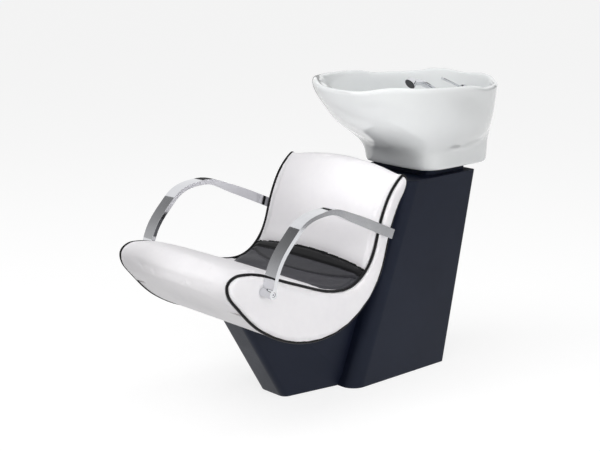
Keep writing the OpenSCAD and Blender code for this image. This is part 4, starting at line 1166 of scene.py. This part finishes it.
@dataclass
class Studio:
    """Floor, lights, world and camera.

    Attributes:
        floor_grey: Grey of the floor for the light that it sends back to the unit.
        floor_matt: The grey that the camera sees, which takes the shadow.
        floor_glow: The light that it adds for the camera.
        world_light: Strength of the soft light from all round.
        world_seen: How bright the room looks to the camera.
        arms: The point between the arms that the cards face.
        azimuth: Turn of the camera about Z, in degrees.
        pitch: How far it looks down, in degrees.
        lamps: A key lamp to the upper left, two softer ones, and two narrow low ones.
    """

    floor_size: float = 400.0
    floor_grey: float = 0.72
    floor_matt: float = 0.30
    floor_glow: float = 0.79
    world_light: float = 0.36
    world_seen: float = 1.0
    arms: Point = (0.1, -0.3, 0.6)
    card_distance: float = 4.0
    lens: float = 84.0
    sensor: float = 36.0
    far_clip: float = 1000.0
    azimuth: float = 47.71
    pitch: float = 13.78
    place: Point = (3.1007, -3.0272, 1.5458)
    lamps: tuple[Lamp, ...] = (
        Lamp("key", (-1.2, -2.2, 4.0), (0.0, -0.1, 0.4), 2.2, 44),
        Lamp("fill", (3.6, -1.2, 1.9), (0.0, 0.0, 0.5), 2.4, 50),
        Lamp("top", (0.3, -0.2, 3.6), (0.0, -0.1, 0.5), 1.6, 27),
        Lamp("under_bowl", (0.15, -1.2, 0.6), (0.1, 0.15, 0.76), 0.4, 0.3, 28),
        Lamp("near_side", (3.0, -1.3, 0.3), (0.25, -0.3, 0.33), 0.7, 0.6, 26),
    )

    def build(self) -> None:
        """Sets the stage."""
        self.floor()
        self.world()
        for lamp in self.lamps:
            lamp.hang()
        self.card("front_card", self.window((-165, -128), (6, 44)), 0.56, 0.13)
        self.card("crest_card", self.window((148, 122), (-8, 15)), 0.12, 0.06)
        self.card("tap_card", self.window((104, 62), (0, 18)), 0.05, 0.05)
        self.card("floor_card", [(0.9, 1.15, 0.04), (2.5, 1.15, 0.002), (2.5, 3.2, 0.002),
                                 (0.9, 3.2, 0.06)], 0.3, 0.9)
        self.camera()

    def toward(self, azimuth: float, elevation: float) -> Point:
        """Gives the point that lies in a direction from the arms.

        Args:
            azimuth: Angle from +X towards +Y, in degrees.
            elevation: Angle over the horizon, in degrees.

        Returns:
            The point.
        """
        turn, rise = math.radians(azimuth), math.radians(elevation)
        x, y, z = self.arms
        far = self.card_distance
        return (x + far * math.cos(rise) * math.cos(turn),
                y + far * math.cos(rise) * math.sin(turn), z + far * math.sin(rise))

    def window(self, sides: tuple[float, float], heights: tuple[float, float]) -> list[Point]:
        """Gives the corners of a card that fills a part of the view from the arms.

        Args:
            sides: Azimuths of its two sides.
            heights: Elevations of its lower and upper edge.

        Returns:
            The four corners.
        """
        (first, last), (low, high) = sides, heights
        return [self.toward(first, high), self.toward(first, low), self.toward(last, low),
                self.toward(last, high)]

    def card(self, name: str, corners: list[Point], low: float, high: float) -> None:
        """Stands a grey card where only polished surfaces mirror it.

        Args:
            name: Name of the card.
            corners: Its four corners.
            low: Its brightness at the lower edge.
            high: Its brightness at the upper edge.
        """
        mesh = bpy.data.meshes.new(name)
        mesh.from_pydata(corners, [], [(0, 1, 2, 3)])
        card = placed(name, mesh)
        material, kit = new_material(name + "_face")
        place = kit.add("SeparateXYZ", Vector=kit.add("TexCoord").outputs["Object"])
        heights = [corner[2] for corner in corners]
        strength = kit.span(place.outputs[2], min(heights), max(heights), low, high)
        kit.show(kit.add("Emission", Color=WHITE, Strength=strength))
        mesh.materials.append(material)
        card.visible_camera = card.visible_diffuse = card.visible_shadow = False
        card.visible_transmission = False

    def floor(self) -> None:
        """Lays a plain white floor that keeps the shadow."""
        shape = bmesh.new()
        bmesh.ops.create_grid(shape, x_segments=1, y_segments=1, size=self.floor_size / 2)
        floor = meshed(shape, "floor")
        material, kit = new_material("white_floor")
        seen = kit.seen()
        plain, matt = (kit.add("BsdfDiffuse", Color=(grey, grey, grey, 1.0))
                       for grey in (self.floor_grey, self.floor_matt))
        glow = kit.add("Emission", Color=WHITE, Strength=self.floor_glow)
        shown = kit.add("AddShader", i0=matt.outputs[0], i1=glow.outputs[0])
        kit.show(kit.add("MixShader", i0=seen, i1=plain.outputs[0], i2=shown.outputs[0]))
        floor.data.materials.append(material)

    def world(self) -> None:
        """Fills the room with soft light, and shows white to the camera."""
        world = bpy.data.worlds.new("studio")
        bpy.context.scene.world = world
        world.use_nodes = True
        kit = NodeKit(world.node_tree)
        strength = kit.span(kit.seen(), 0.0, 1.0, self.world_light, self.world_seen)
        kit.show(kit.add("Background", Color=WHITE, Strength=strength), "OutputWorld")

    def camera(self) -> None:
        """Puts the camera at the photograph's angle."""
        data = bpy.data.cameras.new("camera")
        data.lens = self.lens
        data.sensor_width = self.sensor
        data.clip_end = self.far_clip
        thing = placed("camera", data)
        thing.location = self.place
        thing.rotation_euler = (math.radians(90 - self.pitch), 0.0, math.radians(self.azimuth))
        bpy.context.scene.camera = thing
        bpy.context.scene.view_settings.view_transform = "Standard"


def main(frame: dict) -> None:
    """Builds the wash unit and its studio in order.
    """
    shop = Workshop(frame)
    for part in (Base(shop), Upholstery(shop), ArmPair(shop), BasinUnit(shop), Taps(shop),
                 Studio()):
        part.build()


if __name__ == "__main__":
    logging.basicConfig(level=logging.INFO, format="%(name)s: %(message)s")
    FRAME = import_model()
    main(FRAME)
